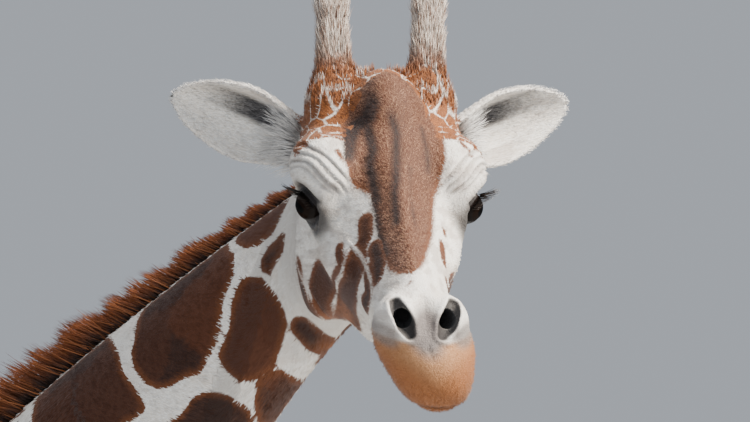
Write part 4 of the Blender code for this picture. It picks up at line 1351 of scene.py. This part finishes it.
def add_hair(name, roots, path, width, paint, rng, shape=(1.0, 0.8), soft=False, thickness=None):
    """One piece of closed, tapering locks. Each root has a path: the middles of its rings, then its tip."""
    count, rings = len(roots), path.shape[1] - 1
    thickness = FLATNESS * width if thickness is None else thickness
    aim = rowwise_unit(path[:, -1] - path[:, 0])
    across = rowwise_unit(np.cross(aim, roots.out))
    up = np.cross(across, aim)
    points, along = [], []
    for ring in range(rings):
        half = (width * shape[ring] / 2)[:, None]
        lift = (thickness * shape[ring])[:, None]
        middle = path[:, ring]
        points += [middle - half * across, middle + half * across, middle + lift * up]
        along += [ring / rings] * 3
    points.append(path[:, -1])
    along.append(1.0)
    size = len(points)
    start = np.arange(count)[:, None] * size
    sides = [(i, (i + 1) % 3) for i in range(3)]
    last = 3 * (rings - 1)
    quads = [(r + a, r + 3 + a, r + 3 + b, r + b) for r in range(0, last, 3) for a, b in sides]
    tips = [(last + b, last + a, size - 1) for a, b in sides] + [(0, 1, 2)]
    faces = [start[:, :, None] + np.array(block)[None] for block in (quads, tips)]
    faces = [block.reshape(-1, block.shape[2]) for block in faces]
    mesh = joined_mesh(name, np.stack(points, 1).reshape(-1, 3), faces)
    marks = {key: np.repeat(values, size, axis=0) for key, values in roots.marks.items()}
    marks["along"] = np.tile(along, count)
    marks["pick"] = np.repeat(rng.uniform(0, 1, count), size)
    give_marks(mesh, marks)
    corners = np.concatenate([block.ravel() for block in faces])
    within = np.column_stack([np.tile([0, 1, 0.5], rings + 1)[:size], along]) - 0.5
    give_map(mesh, roots.chart[corners // size] + TUFT_PATCH * within[corners % size])
    if soft:
        mesh.normals_split_custom_set_from_vertices(np.repeat(roots.out, size, axis=0))
    return piece(mesh, paint)


def bent(roots, aim, length, lift, rings=2):
    """Paths that leave the skin along aim and arch outwards by lift, as a share of the length."""
    length = length[:, None]
    steps = np.linspace(0, 1, rings + 1)
    return np.stack([roots.place + length * (aim * t + roots.out * lift * (t - t**2) * 2) for t in steps], 1)




def jitter(rng, size, count):
    return rng.normal(0, size, (count, 3))


def add_mane(skin, paint, rng):
    """A ridge of stiff hair down the nape, in slight tufts, with its tips leaning back."""
    share, up, side = neck_place(skin.points)
    nape = (np.abs(side) < MANE_HALF) & (skin.normals @ NECK_UP > 0.5) & (up > 0)
    nape &= (share > MANE_FOOT) & (share < MANE_TOP) & (skin.points[:, 2] > 2.3)
    roots = scattered(skin, nape[skin.faces].all(1), MANE_HAIRS, rng)
    share, _, side = neck_place(roots.place)
    down = (MANE_TOP - share) / (MANE_TOP - MANE_FOOT)
    height = MANE_HEIGHT * np.minimum(1, np.minimum(0.3 + 2.5 * down, 0.1 + 4 * (1 - down)))
    tuftiness = 0.86 + 0.14 * np.sin(share * 190 + 2.5 * np.sin(share * 47))
    length = 1.08 * height * tuftiness * rng.uniform(0.80, 1.0, len(roots))
    aim = 0.93 * NECK_UP - (0.34 + rng.normal(0, 0.10, len(roots)))[:, None] * NECK_AIM
    aim += (0.16 * side / MANE_HALF + rng.normal(0, 0.07, len(roots)))[:, None] * LEFT
    roots.out = np.tile(LEFT, (len(roots), 1)) * np.sign(side + 1e-6)[:, None]
    roots.place = roots.place - 0.002 * NECK_UP
    path = bent(roots, rowwise_unit(aim), length, 0.05, rings=3)
    width = rng.uniform(0.0014, 0.0024, len(roots))
    hair = add_hair("mane_hair", roots, path, width, paint, rng, (1, 0.9, 0.55))
    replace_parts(hair, "mane")


def add_ossicone_hair(skin, paint, rng):
    """Hair up the ossicones, short below and shaggy above, with the marks of the skin that it grows from."""
    for name, side in PAIR.items():
        local = to_head(skin.points)
        up, aside = ossicone_place(local)
        here = (up > 0.0) & (aside < 0.06) & (local[:, 1] * side > 0)
        near = is_near_head(skin.points)
        weight = (here & near)[skin.faces].all(1) * (0.5 + ramp(up, 0.2, 0.6)[skin.faces].mean(1))
        roots = scattered(skin, weight, OSSICONE_HAIRS, rng)
        up, _ = ossicone_place(to_head(roots.place))
        axis = HEAD_AXES @ mirrored(OSSICONE_AIM, side)
        shaggy = ramp(up, 0.25, 0.60)
        lean = (0.06 + 0.20 * shaggy * rng.random(len(roots)))[:, None]
        aim = rowwise_unit(axis + lean * roots.out + jitter(rng, 0.11, len(roots)))
        length = rng.uniform(0.75, 1.25, len(roots)) * (0.011 + 0.013 * shaggy)
        length *= 1 - 0.35 * ramp(up, 0.88, 1.0)
        width = rng.uniform(0.0007, 0.0013, len(roots)) * (1 + 0.3 * shaggy)
        path = bent(roots, aim, length, 0.06)
        add_hair(f"ossicone_hair_{name}", roots, path, width, paint, rng)


def add_lip_hair(skin, paint, rng):
    """Very short fuzz on the lips, which stands out along their edge."""
    middles = to_head(skin.points[skin.faces].mean(1))
    tan = skin.marks["tan"][skin.faces].min(1)
    where = (skin.region == HEAD) & (tan > 0.1) & (middles[:, 0] > 0.27)
    roots = scattered(skin, where * (0.4 + ramp(-middles[:, 2], 0.11, 0.17)), LIP_HAIRS, rng)
    fall = HEAD_AXES @ np.array([-0.2, 0, -0.8])
    aim = rowwise_unit(fall + 0.75 * roots.out + jitter(rng, 0.2, len(roots)))
    width = rng.uniform(0.0004, 0.0007, len(roots))
    path = bent(roots, aim, rng.uniform(0.0020, 0.0042, len(roots)), 0.05)
    add_hair("lip_coat", roots, path, width, paint, rng, (0.9, 0.7), soft=True, thickness=0.5 * width)


def add_ear_hair(skin, paint, rng):
    """Short hair over the ears' rims, and long hair that fans out over the hollow at their roots."""
    local = to_head(skin.points)
    along, across, out = ear_place(local)
    near = is_near_head(skin.points)
    half = np.interp(along / EAR_LENGTH, EAR_CURVE[:, 0], EAR_CURVE[:, 1])
    on_ear = near & (along > 0) & (np.abs(across) < 0.08) & (np.abs(out) < 0.06)
    rim = on_ear & (np.abs(across) > half - 0.006) & (along > 0.02)
    root = on_ear & (along < 0.055) & (np.abs(across) < 0.034) & (out < 0.02)
    for name, side in PAIR.items():
        here = local[:, 1] * side > 0
        opening = HEAD_AXES @ mirrored(EAR_FRAME[:, 2], side)
        lengthwise = HEAD_AXES @ mirrored(EAR_FRAME[:, 0], side)
        sideways = HEAD_AXES @ mirrored(EAR_FRAME[:, 1], side)
        rims = scattered(skin, (rim & here)[skin.faces].all(1), EAR_RIM_HAIRS, rng)
        way = np.sign(ear_place(to_head(rims.place))[1])[:, None]
        aim = lengthwise + 0.35 * way * sideways + 0.08 * rims.out + jitter(rng, 0.12, len(rims))
        length = rng.uniform(0.004, 0.008, len(rims))
        width = rng.uniform(0.0005, 0.0008, len(rims))
        path = bent(rims, rowwise_unit(aim), length, 0.05)
        add_hair(f"ear_rim_hair_{name}", rims, path, width, paint, rng)
        opens = (skin.normals @ opening > 0.2) & root & here
        roots = scattered(skin, opens[skin.faces].all(1), EAR_ROOT_HAIRS, rng)
        spread = (ear_place(to_head(roots.place))[1] / 0.034)[:, None]
        aim = 0.9 * lengthwise + 0.75 * spread * sideways + 0.30 * opening
        aim += jitter(rng, 0.12, len(roots))
        length = rng.uniform(0.022, 0.048, len(roots))
        width = rng.uniform(0.0007, 0.0013, len(roots))
        path = bent(roots, rowwise_unit(aim), length, 0.12, rings=3)
        add_hair(f"ear_root_hair_{name}", roots, path, width, paint, rng, (1, 0.9, 0.6))


def lid_line(steps):
    """Places along the upper lid's edge from the inner to the outer corner, from the eye's middle."""
    reach = SOCKET_RADIUS - 0.001
    along = np.linspace(0.70, -0.82, steps) * reach
    slope = math.tan(UPPER_LID)
    rest = reach**2 - along**2
    a, b, c = 1 + slope**2, -2 * slope**2 * LID_MEETING, slope**2 * LID_MEETING**2 - rest
    ahead = ((-b + np.sqrt(b * b - 4 * a * c)) / (2 * a))[:, None]
    return along[:, None] * EYE_ALONG + ahead * GAZE + slope * (ahead - LID_MEETING) * EYE_UP


def nearest_on_skin(skin, places):
    """Roots at the skin's points nearest to the places."""
    corner_map = np.zeros((len(skin.points), 2))
    corner_map[skin.faces.ravel()] = skin.chart.reshape(-1, 2)
    near = [np.argmin(((skin.points - place) ** 2).sum(1)) for place in places]
    marks = {name: values[near] for name, values in skin.marks.items()}
    return Roots(places.copy(), skin.normals[near], marks, corner_map[near])


def add_lashes(skin, paint, rng):
    """Lashes along the upper lids, longest towards the outer corner."""
    for name, side in PAIR.items():
        line = lid_line(LASHES) + jitter(rng, 0.0006, LASHES)
        roots = nearest_on_skin(skin, from_head((EYE_PLACE + line) * [1, side, 1]))
        outward = np.linspace(0, 1, LASHES)[:, None]
        aim = GAZE + (0.10 + 0.35 * outward) * EYE_UP - 0.55 * outward * EYE_ALONG
        aim += jitter(rng, 0.06, LASHES)
        roots.out = np.tile(HEAD_AXES @ mirrored(EYE_UP, side), (LASHES, 1))
        aim = rowwise_unit((aim * [1, side, 1]) @ HEAD_AXES.T)
        length = (0.014 + 0.018 * ramp(outward[:, 0], 0.1, 0.7)) * rng.uniform(0.8, 1.05, LASHES)
        path = bent(roots, aim, length, -0.16, rings=3)
        width = np.full(LASHES, 0.0009)
        shape, thickness = (1, 0.8, 0.5), 0.6 * width
        add_hair(f"lashes_{name}", roots, path, width, paint, rng, shape, thickness=thickness)


def add_tail_hair(skin, paint, rng):
    """Long locks round the end of the tail, which hang within the width that the solid tuft has there."""
    low = (skin.region == TAIL) & (skin.points[skin.faces].mean(1)[:, 2] < TAIL_END_Z + 0.12)
    roots = scattered(skin, low, TAIL_LOCKS, rng)
    tuft = curve_through(TUFT_ROWS, 5)[::-1]
    above_end = (TAIL_END_Z - 0.10 - TUFT_END_Z) * rng.power(0.55, len(roots)) * rng.uniform(0, 1, len(roots))
    end = TUFT_END_Z + 0.02 + above_end
    turn = rng.uniform(0, 2 * math.pi, len(roots))
    share = np.sqrt(rng.uniform(0, 1, len(roots)))
    path = []
    for step in np.linspace(0, 1, 6):
        z = roots.place[:, 2] + (end - roots.place[:, 2]) * step
        x, y, radius = (np.interp(z, tuft[:, 2], tuft[:, i]) for i in (0, 1, 3))
        wave = 0.004 * np.sin(9 * step + turn)
        held = ramp(step, 0, 0.35)
        inside = share * radius * 0.92
        place = np.column_stack([x + inside * np.cos(turn) + wave, y + inside * np.sin(turn) + wave, z])
        start = np.column_stack([roots.place[:, :2], z])
        path.append(start + held * (place - start))
    width = rng.uniform(0.0022, 0.0045, len(roots))
    path, shape = np.stack(path, 1), (1, 1, 0.9, 0.75, 0.5)
    hair = add_hair("tail_hair_locks", roots, path, width, paint, rng, shape)
    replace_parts(hair, "tail_tuft")


def add_short_coat(skin, paint, rng):
    """Flat tufts that follow the lie of the coat, which break up the outline on every side."""
    middles = skin.points[skin.faces].mean(1)
    local = to_head(middles)
    front = (skin.region == HEAD) & (np.linalg.norm(local - [0.40, 0, -0.09], axis=1) > 0.13)
    bare = skin.marks["dark_skin_and_shade"][skin.faces].max(1) > 0.3
    clear = ~bare & ~np.isin(skin.region, list(OSSICONES.values()))
    neck = skin.region == NECK
    share = neck_place(middles)[0]
    upper = neck & (share > 0.55)
    trunk, high = skin.region == TRUNK, middles[:, 2] > 2.05
    legs = np.isin(skin.region, [*LEGS.values(), TAIL])
    ears = np.isin(skin.region, list(EAR_FACES.values()))
    # Where, how many, lengths, widths and how far the tufts rise off the skin
    spreads = {
        "face_coat": (front & clear, FACE_TUFTS, (0.005, 0.009), (0.0006, 0.0012), 0.10),
        "neck_coat": (upper & clear, NECK_TUFTS, (0.006, 0.010), (0.0009, 0.0016), 0.10),
        "low_neck_coat": (neck & ~upper, BODY_TUFTS, (0.014, 0.022), (0.0030, 0.0055), 0.12),
        "back_coat": (trunk & high, BODY_TUFTS, (0.014, 0.024), (0.003, 0.006), 0.12),
        "belly_coat": (trunk & ~high, BODY_TUFTS, (0.014, 0.024), (0.003, 0.006), 0.12),
        "leg_coat": (legs, LEG_TUFTS, (0.010, 0.018), (0.002, 0.004), 0.12),
        "ear_coat": (ears, EAR_TUFTS, (0.006, 0.010), (0.0008, 0.0014), 0.10),
    }
    for name, (where, count, lengths, widths, rise) in spreads.items():
        roots = scattered(skin, where, count, rng)
        aim = lie_of_coat(roots.place)
        aim -= (aim * roots.out).sum(1)[:, None] * roots.out
        aim = rowwise_unit(rowwise_unit(aim) + rise * roots.out + jitter(rng, 0.14, count))
        width = rng.uniform(*widths, count)
        roots.place = roots.place - 0.0004 * roots.out
        path = bent(roots, aim, rng.uniform(*lengths, count), 0.03)
        thickness = 0.0005 + 0.12 * width
        add_hair(name, roots, path, width, paint, rng, (0.7, 1.0), soft=True, thickness=thickness)


# ---------------------------------------------------------------- eyes and claws

def add_eyes(paint):
    """Eyeballs, a little fuller in front. Each point knows which way it lies from the line of the gaze."""
    for name, side in PAIR.items():
        shape = bmesh.new()
        bmesh.ops.create_uvsphere(shape, u_segments=64, v_segments=40, radius=1)
        mesh = bpy.data.meshes.new(f"eyeball_{name}")
        shape.to_mesh(mesh)
        shape.free()
        facing = read(mesh.vertices, "co", 3)
        full = EYE_RADIUS + 0.0008 * ramp(facing[:, 2], 0.80, 0.95)
        place = EYE_PLACE + full[:, None] * (facing @ np.stack([EYE_ALONG, EYE_UP, GAZE]))
        mesh.vertices.foreach_set("co", (from_head(place * [1, side, 1]) + SHIFT).ravel())
        if side < 0:
            mesh.flip_normals()
        mesh.shade_smooth()
        give_marks(mesh, {"facing": facing})
        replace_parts(piece(mesh, paint), f"eye_{name}")


def claw_ring(share, around):
    """One ring of a claw: flat on its inner side, rounded outside and pointed in front."""
    length, width, set_back = (np.interp(share, CLAW[:, 0], CLAW[:, i]) for i in (1, 2, 3))
    x, y = np.cos(around), np.sin(around)
    narrow = 1 - 0.35 * np.maximum(x, 0) ** 2
    out = width * (0.5 + np.where(y > 0, 0.5, 0.42) * y) * narrow
    grown = 0.0007 * math.sin(share * 48) * ramp(share, 0.05, 0.2)
    forward = x * (length / 2 + grown) - set_back
    return np.column_stack([forward, 0.003 + out + grown * y, np.full(len(x), share * HOOF_HEIGHT)])


def add_claws(paint):
    """The two claws of each foot, with the rings that they grow in."""
    around = np.linspace(0, 2 * math.pi, CLAW_SIDES, endpoint=False)
    shares = np.linspace(0, 1, CLAW_RINGS)
    for leg in STAGGER:
        x, y, side = foot_place(leg)
        for name, way in (("outer", side), ("inner", -side)):
            rings = np.array([claw_ring(share, around) for share in shares])
            rings[..., 2] += shares[:, None] * 0.32 * rings[..., 0]
            points = rings.reshape(-1, 3) * [1, way, 1] + [x, y, 0]
            steps, turns = np.arange(CLAW_RINGS - 1)[:, None] * CLAW_SIDES, np.arange(CLAW_SIDES)
            ahead = (turns + 1) % CLAW_SIDES
            walls = np.stack(np.broadcast_arrays(steps + turns, steps + ahead, steps + ahead + CLAW_SIDES,
                                                 steps + turns + CLAW_SIDES), -1).reshape(-1, 4)
            ends = [np.stack([0 * turns[1:-1], turns[2:], turns[1:-1]], 1)]
            ends.append(ends[0][:, ::-1] + (CLAW_RINGS - 1) * CLAW_SIDES)
            if way < 0:
                walls, ends = walls[:, ::-1], [end[:, ::-1] for end in ends]
            mesh = joined_mesh(f"claw_{leg}_{name}", points, [walls, *ends])
            give_marks(mesh, {"height": np.repeat(shares, CLAW_SIDES)})
            mesh.set_sharp_from_angle(angle=math.radians(50))
            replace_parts(piece(mesh, paint), f"hoof_{leg}_{name}")


# ---------------------------------------------------------------- materials

class Paint:
    """A material whose nodes are added by plain calls. Each call returns the socket to go on from."""

    def __init__(self, name, **settings):
        self.material = bpy.data.materials.new(name)
        self.material.use_nodes = True
        self.tree = self.material.node_tree
        self.shader = self.tree.nodes["Principled BSDF"]
        for field, value in settings.items():
            self.give(self.shader, field.replace("_", " "), value)

    def give(self, node, field, value):
        """Sets an input, or links a socket to it. A colour is three numbers."""
        socket = node.inputs[field]
        if isinstance(value, bpy.types.NodeSocket):
            self.tree.links.new(value, socket)
        else:
            socket.default_value = (*value, 1.0) if socket.type == "RGBA" else value

    def add(self, kind, inputs, **settings):
        node = self.tree.nodes.new("ShaderNode" + kind)
        for field, value in settings.items():
            setattr(node, field, value)
        for field, value in inputs.items():
            self.give(node, field, value)
        return node

    def mark(self, name, output="Fac"):
        return self.add("Attribute", {}, attribute_name=name).outputs[output]

    def math(self, operation, first, second=0.0):
        return self.add("Math", {0: first, 1: second}, operation=operation).outputs[0]

    def times(self, first, second):
        return self.math("MULTIPLY", first, second)

    def ramp(self, value, start, end, low=0.0, high=1.0):
        inputs = {"Value": value, "From Min": start, "From Max": end, "To Min": low, "To Max": high}
        return self.add("MapRange", inputs, interpolation_type="SMOOTHSTEP").outputs[0]

    def mix(self, share, first, second):
        inputs = {0: share, 6: first, 7: second}
        return self.add("Mix", inputs, data_type="RGBA").outputs[2]

    def noise(self, place, scale, detail=2.0):
        return self.add("TexNoise", {"Vector": place, "Scale": scale, "Detail": detail}).outputs["Fac"]

    def colour(self, value):
        self.give(self.shader, "Base Color", value)

    def bump(self, height, distance, strength=1.0):
        node = self.add("Bump", {"Height": height, "Distance": distance, "Strength": strength})
        self.give(self.shader, "Normal", node.outputs["Normal"])


def coat_paint():
    """Brown patches with fine-toothed edges on a pale ground, and the bare or coloured skin of the face, with
    painted shade in the wrinkles, ears, nostrils, mouth line and lips and painted shadows across the
    forehead.
    """
    paint = Paint("coat", Roughness=0.62, Specular_IOR_Level=0.25, Sheen_Weight=0.10, Sheen_Roughness=0.5)
    coat, face = paint.mark("coat", "Vector"), paint.mark("face")
    lock, strand = paint.noise(coat, 420), paint.noise(coat, 1100, 1.0)
    slow, fine = paint.noise(coat, 30), paint.noise(coat, 2300, 1.0)
    jagged = paint.ramp(face, 0.0, 1.0, 0.010, 0.007)
    teeth = paint.times(paint.math("SUBTRACT", lock, 0.5), jagged)
    edge = paint.math("ADD", paint.mark("patch"), teeth)
    tone, rust = paint.mark("tone"), paint.mark("rust")

    ground = paint.mix(paint.ramp(strand, 0.3, 0.7), (0.72, 0.65, 0.56), (0.93, 0.90, 0.85))
    ground = paint.mix(paint.ramp(slow, 0.45, 0.80, 0.0, 0.30), ground, (0.60, 0.45, 0.32))
    clouds = paint.times(face, paint.ramp(paint.noise(coat, 65), 0.44, 0.66, 0.0, 0.55))
    ground = paint.mix(clouds, ground, (0.42, 0.35, 0.30))
    # Painted shade darkens the ground in the wrinkles
    ground = paint.mix(paint.times(paint.mark("crease"), 0.60), ground, (0.16, 0.13, 0.115))
    deep = paint.mix(tone, (0.082, 0.022, 0.006), (0.026, 0.008, 0.004))
    brown = paint.mix(paint.ramp(edge, 0.001, 0.014), (0.14, 0.042, 0.011), deep)
    brown = paint.mix(paint.ramp(strand, 0.40, 0.8, 0.0, 0.35), brown, (0.11, 0.034, 0.010))
    rusty = paint.mix(paint.ramp(strand, 0.35, 0.65), (0.11, 0.030, 0.006), (0.30, 0.098, 0.024))
    brown = paint.mix(rust, brown, rusty)
    tufted = paint.ramp(lock, 0.35, 0.62, 0.25, 1.0)
    frosted = paint.times(paint.ramp(strand, 0.46, 0.64, 0.0, 0.62), tufted)
    grizzled = paint.mix(frosted, (0.070, 0.019, 0.006), (0.43, 0.235, 0.135))
    brown = paint.mix(paint.mark("grizzle"), brown, grizzled)
    # Painted shadows on the forehead, broken up by the locks of the coat
    shadowed = paint.times(paint.mark("streak"), paint.ramp(lock, 0.25, 0.52, 0.60, 1.0))
    brown = paint.mix(shadowed, brown, (0.018, 0.008, 0.006))
    soft = paint.ramp(face, 0.0, 1.0, 0.0012, 0.0032)
    looks = paint.mix(paint.ramp(edge, paint.times(soft, -1.0), soft), ground, brown)

    horned = paint.mix(paint.ramp(strand, 0.35, 0.65), (0.22, 0.13, 0.09), (0.74, 0.65, 0.56))
    looks = paint.mix(paint.mark("fade"), looks, horned)
    tan = paint.mark("tan")
    light = paint.mix(fine, (0.38, 0.175, 0.070), (0.56, 0.31, 0.155))
    # Deep tan of the lower lip, also used as painted shade on her right side
    deep_and_shaded = paint.mix(fine, (0.19, 0.055, 0.012), (0.38, 0.145, 0.045))
    velvet = paint.mix(paint.ramp(tan, 0.50, 1.0), light, deep_and_shaded)
    velvet = paint.mix(paint.ramp(lock, 0.42, 0.66, 0.0, 0.40), velvet, (0.27, 0.105, 0.035))
    looks = paint.mix(paint.ramp(tan, 0.0, 0.42), looks, velvet)
    # Grey skin of the nose, and painted shade below the nostrils' wings
    speckled = paint.mix(paint.ramp(fine, 0.35, 0.65), (0.09, 0.075, 0.068), (0.26, 0.22, 0.20))
    looks = paint.mix(paint.mark("grey"), looks, speckled)
    # Painted shade in the ears' cups
    shaded = paint.mix(paint.ramp(strand, 0.40, 0.65), (0.025, 0.023, 0.025), (0.10, 0.095, 0.095))
    looks = paint.mix(paint.mark("ear_shade"), looks, shaded)
    # Dark bare skin round the eyes, with painted shade in the nostrils and along the mouth
    looks = paint.mix(paint.mark("dark_skin_and_shade"), looks, (0.020, 0.016, 0.015))
    paint.colour(looks)
    paint.bump(paint.math("ADD", lock, paint.times(strand, 0.6)), 0.0012)
    return paint.material


def hair_paint(name, root, tip, bright, roughness=0.5):
    """Hair that runs from one colour at its root to another at its tip, with some brighter hairs."""
    paint = Paint(name, Roughness=roughness, Specular_IOR_Level=0.35)
    run = paint.mix(paint.ramp(paint.mark("along"), 0.05, 0.75), root, tip)
    paint.colour(paint.mix(paint.ramp(paint.mark("pick"), 0.55, 1.0, 0.0, 0.8), run, bright))
    return paint.material


PUPIL_SQUARENESS = 2.6


def eye_paint():
    """Black across the wide pupil and very dark brown round it, under a wet, clear coat."""
    paint = Paint("eye", Roughness=0.25, Specular_IOR_Level=0.0, Coat_Weight=0.10, Coat_Roughness=0.03)
    facing = paint.mark("facing", "Vector")
    parts = paint.add("SeparateXYZ", {0: facing}).outputs
    wide = paint.math("DIVIDE", parts[0], 0.42)
    high = paint.math("DIVIDE", parts[1], 0.24)
    squared = [paint.math("POWER", paint.math("ABSOLUTE", part), PUPIL_SQUARENESS) for part in (wide, high)]
    pupil = paint.math("ADD", *squared)
    iris = paint.mix(paint.noise(facing, 16), (0.004, 0.002, 0.0015), (0.014, 0.007, 0.004))
    looks = paint.mix(paint.ramp(pupil, 0.8, 1.2), (0.002, 0.002, 0.002), iris)
    paint.colour(paint.mix(paint.ramp(parts[2], 0.74, 0.64), looks, (0.010, 0.007, 0.006)))
    return paint.material


def horn_paint():
    paint = Paint("horn", Roughness=0.42)
    rings = paint.noise(paint.mark("height"), 9)
    paint.colour(paint.mix(rings, (0.045, 0.034, 0.027), (0.13, 0.095, 0.07)))
    return paint.material


# ---------------------------------------------------------------- stage

def add_stage():
    floor = Paint("floor", Roughness=0.9, Base_Color=(0.78, 0.77, 0.75))
    mesh = bpy.data.meshes.new("floor")
    turns = np.linspace(0, 2 * math.pi, FLOOR_SIDES, endpoint=False)
    rim = np.column_stack([FLOOR_RADIUS * np.cos(turns), FLOOR_RADIUS * np.sin(turns), 0 * turns])
    mesh.from_pydata(rim.tolist(), [], [range(FLOOR_SIDES)])
    mesh.materials.append(floor.material)
    in_scene("floor", mesh)
    world = bpy.data.worlds.new("studio")
    world.use_nodes = True
    sky = world.node_tree.nodes["Background"].inputs
    sky["Color"].default_value = (0.80, 0.86, 0.95, 1.0)
    sky["Strength"].default_value = 0.5
    bpy.context.scene.world = world


def add_light(name, towards, distance, size, energy, colour):
    """A square soft light that stands away from the head and looks at it."""
    light = bpy.data.lights.new(name, "AREA")
    light.size, light.energy, light.color = size, energy, colour
    in_scene(name, light, HEAD_ORIGIN + SHIFT + distance * unit(towards), unit(towards))


def add_camera():
    """Seen from ahead and her right, level with the eyes, from nine metres away."""
    turn = math.radians(VIEW_TURN)
    back = np.array([math.sin(turn), -math.cos(turn), 0])
    right = np.array([math.cos(turn), math.sin(turn), 0])
    place = HEAD_ORIGIN + SHIFT + VIEW_ASIDE * right + [0, 0, VIEW_RISE] + VIEW_DISTANCE * back
    camera = bpy.data.cameras.new("camera")
    camera.lens = camera.sensor_width * VIEW_DISTANCE / VIEW_WIDTH
    camera.clip_end = 500
    bpy.context.scene.camera = in_scene("camera", camera, place, back)


# ---------------------------------------------------------------- the whole

# The mane's ends, as shares of the way up the neck, and its half-width
MANE_FOOT, MANE_TOP, MANE_HALF = -0.17, 0.985, 0.014
MANE_HAIRS, OSSICONE_HAIRS, EAR_RIM_HAIRS, EAR_ROOT_HAIRS = 11000, 4500, 1700, 600
LASHES, TAIL_LOCKS = 70, 1600
FACE_TUFTS, NECK_TUFTS, BODY_TUFTS, LEG_TUFTS, EAR_TUFTS, LIP_HAIRS = 18500, 19500, 12500, 14000, 6000, 7000
CLAW_SIDES, CLAW_RINGS = 40, 28
# Share of the height, then length, width and how far back each ring of a claw is
CLAW = np.array([(0.0, 0.205, 0.080, -0.020), (0.29, 0.190, 0.078, -0.014), (1.0, 0.128, 0.062, 0.004)])
# The camera's turn round her in degrees, how far away it is, and the width that it sees there
VIEW_TURN, VIEW_DISTANCE, VIEW_WIDTH = 27.0, 9.0, 1.068
VIEW_ASIDE, VIEW_RISE = -0.018, -0.0085
FLOOR_RADIUS, FLOOR_SIDES = 30.0, 96
PAIRED_NODES = [f"{kind}_{side}" for kind in ("foreleg", "hindleg", "ear", "ossicone") for side in PAIR]
FLESH_NODES = ["head", "neck", "trunk", "tail", *PAIRED_NODES]


def main():
    rng = np.random.default_rng(11)
    coat = coat_paint()
    skin = add_skin(coat)
    # The mane runs from near-black roots, painted shade deep in the mane, to rust tips brightened as painted
    # sunlight
    mane = hair_paint("mane", (0.012, 0.005, 0.003), (0.24, 0.065, 0.017), (0.42, 0.14, 0.045))
    white = hair_paint("white_hair", (0.45, 0.42, 0.40), (0.80, 0.77, 0.73), (0.88, 0.86, 0.84))
    black = hair_paint("black_hair", (0.010, 0.008, 0.007), (0.022, 0.016, 0.013), (0.05, 0.035, 0.028), 0.35)
    add_mane(skin, mane, rng)
    add_ossicone_hair(skin, coat, rng)
    add_lip_hair(skin, coat, rng)
    add_ear_hair(skin, white, rng)
    add_lashes(skin, black, rng)
    add_tail_hair(skin, black, rng)
    add_short_coat(skin, coat, rng)
    add_eyes(eye_paint())
    add_claws(horn_paint())
    add_stage()
    add_light("key", (0.96, 0.04, 0.88), 7, 2.0, 1850, (1.0, 0.95, 0.87))
    add_light("fill", (0.30, -1.0, 0.1), 8, 5.0, 170, (0.76, 0.86, 1.0))
    add_light("top", (0.0, 0.0, 1.0), 6, 4.0, 150, (1.0, 1.0, 1.0))
    add_camera()


main()
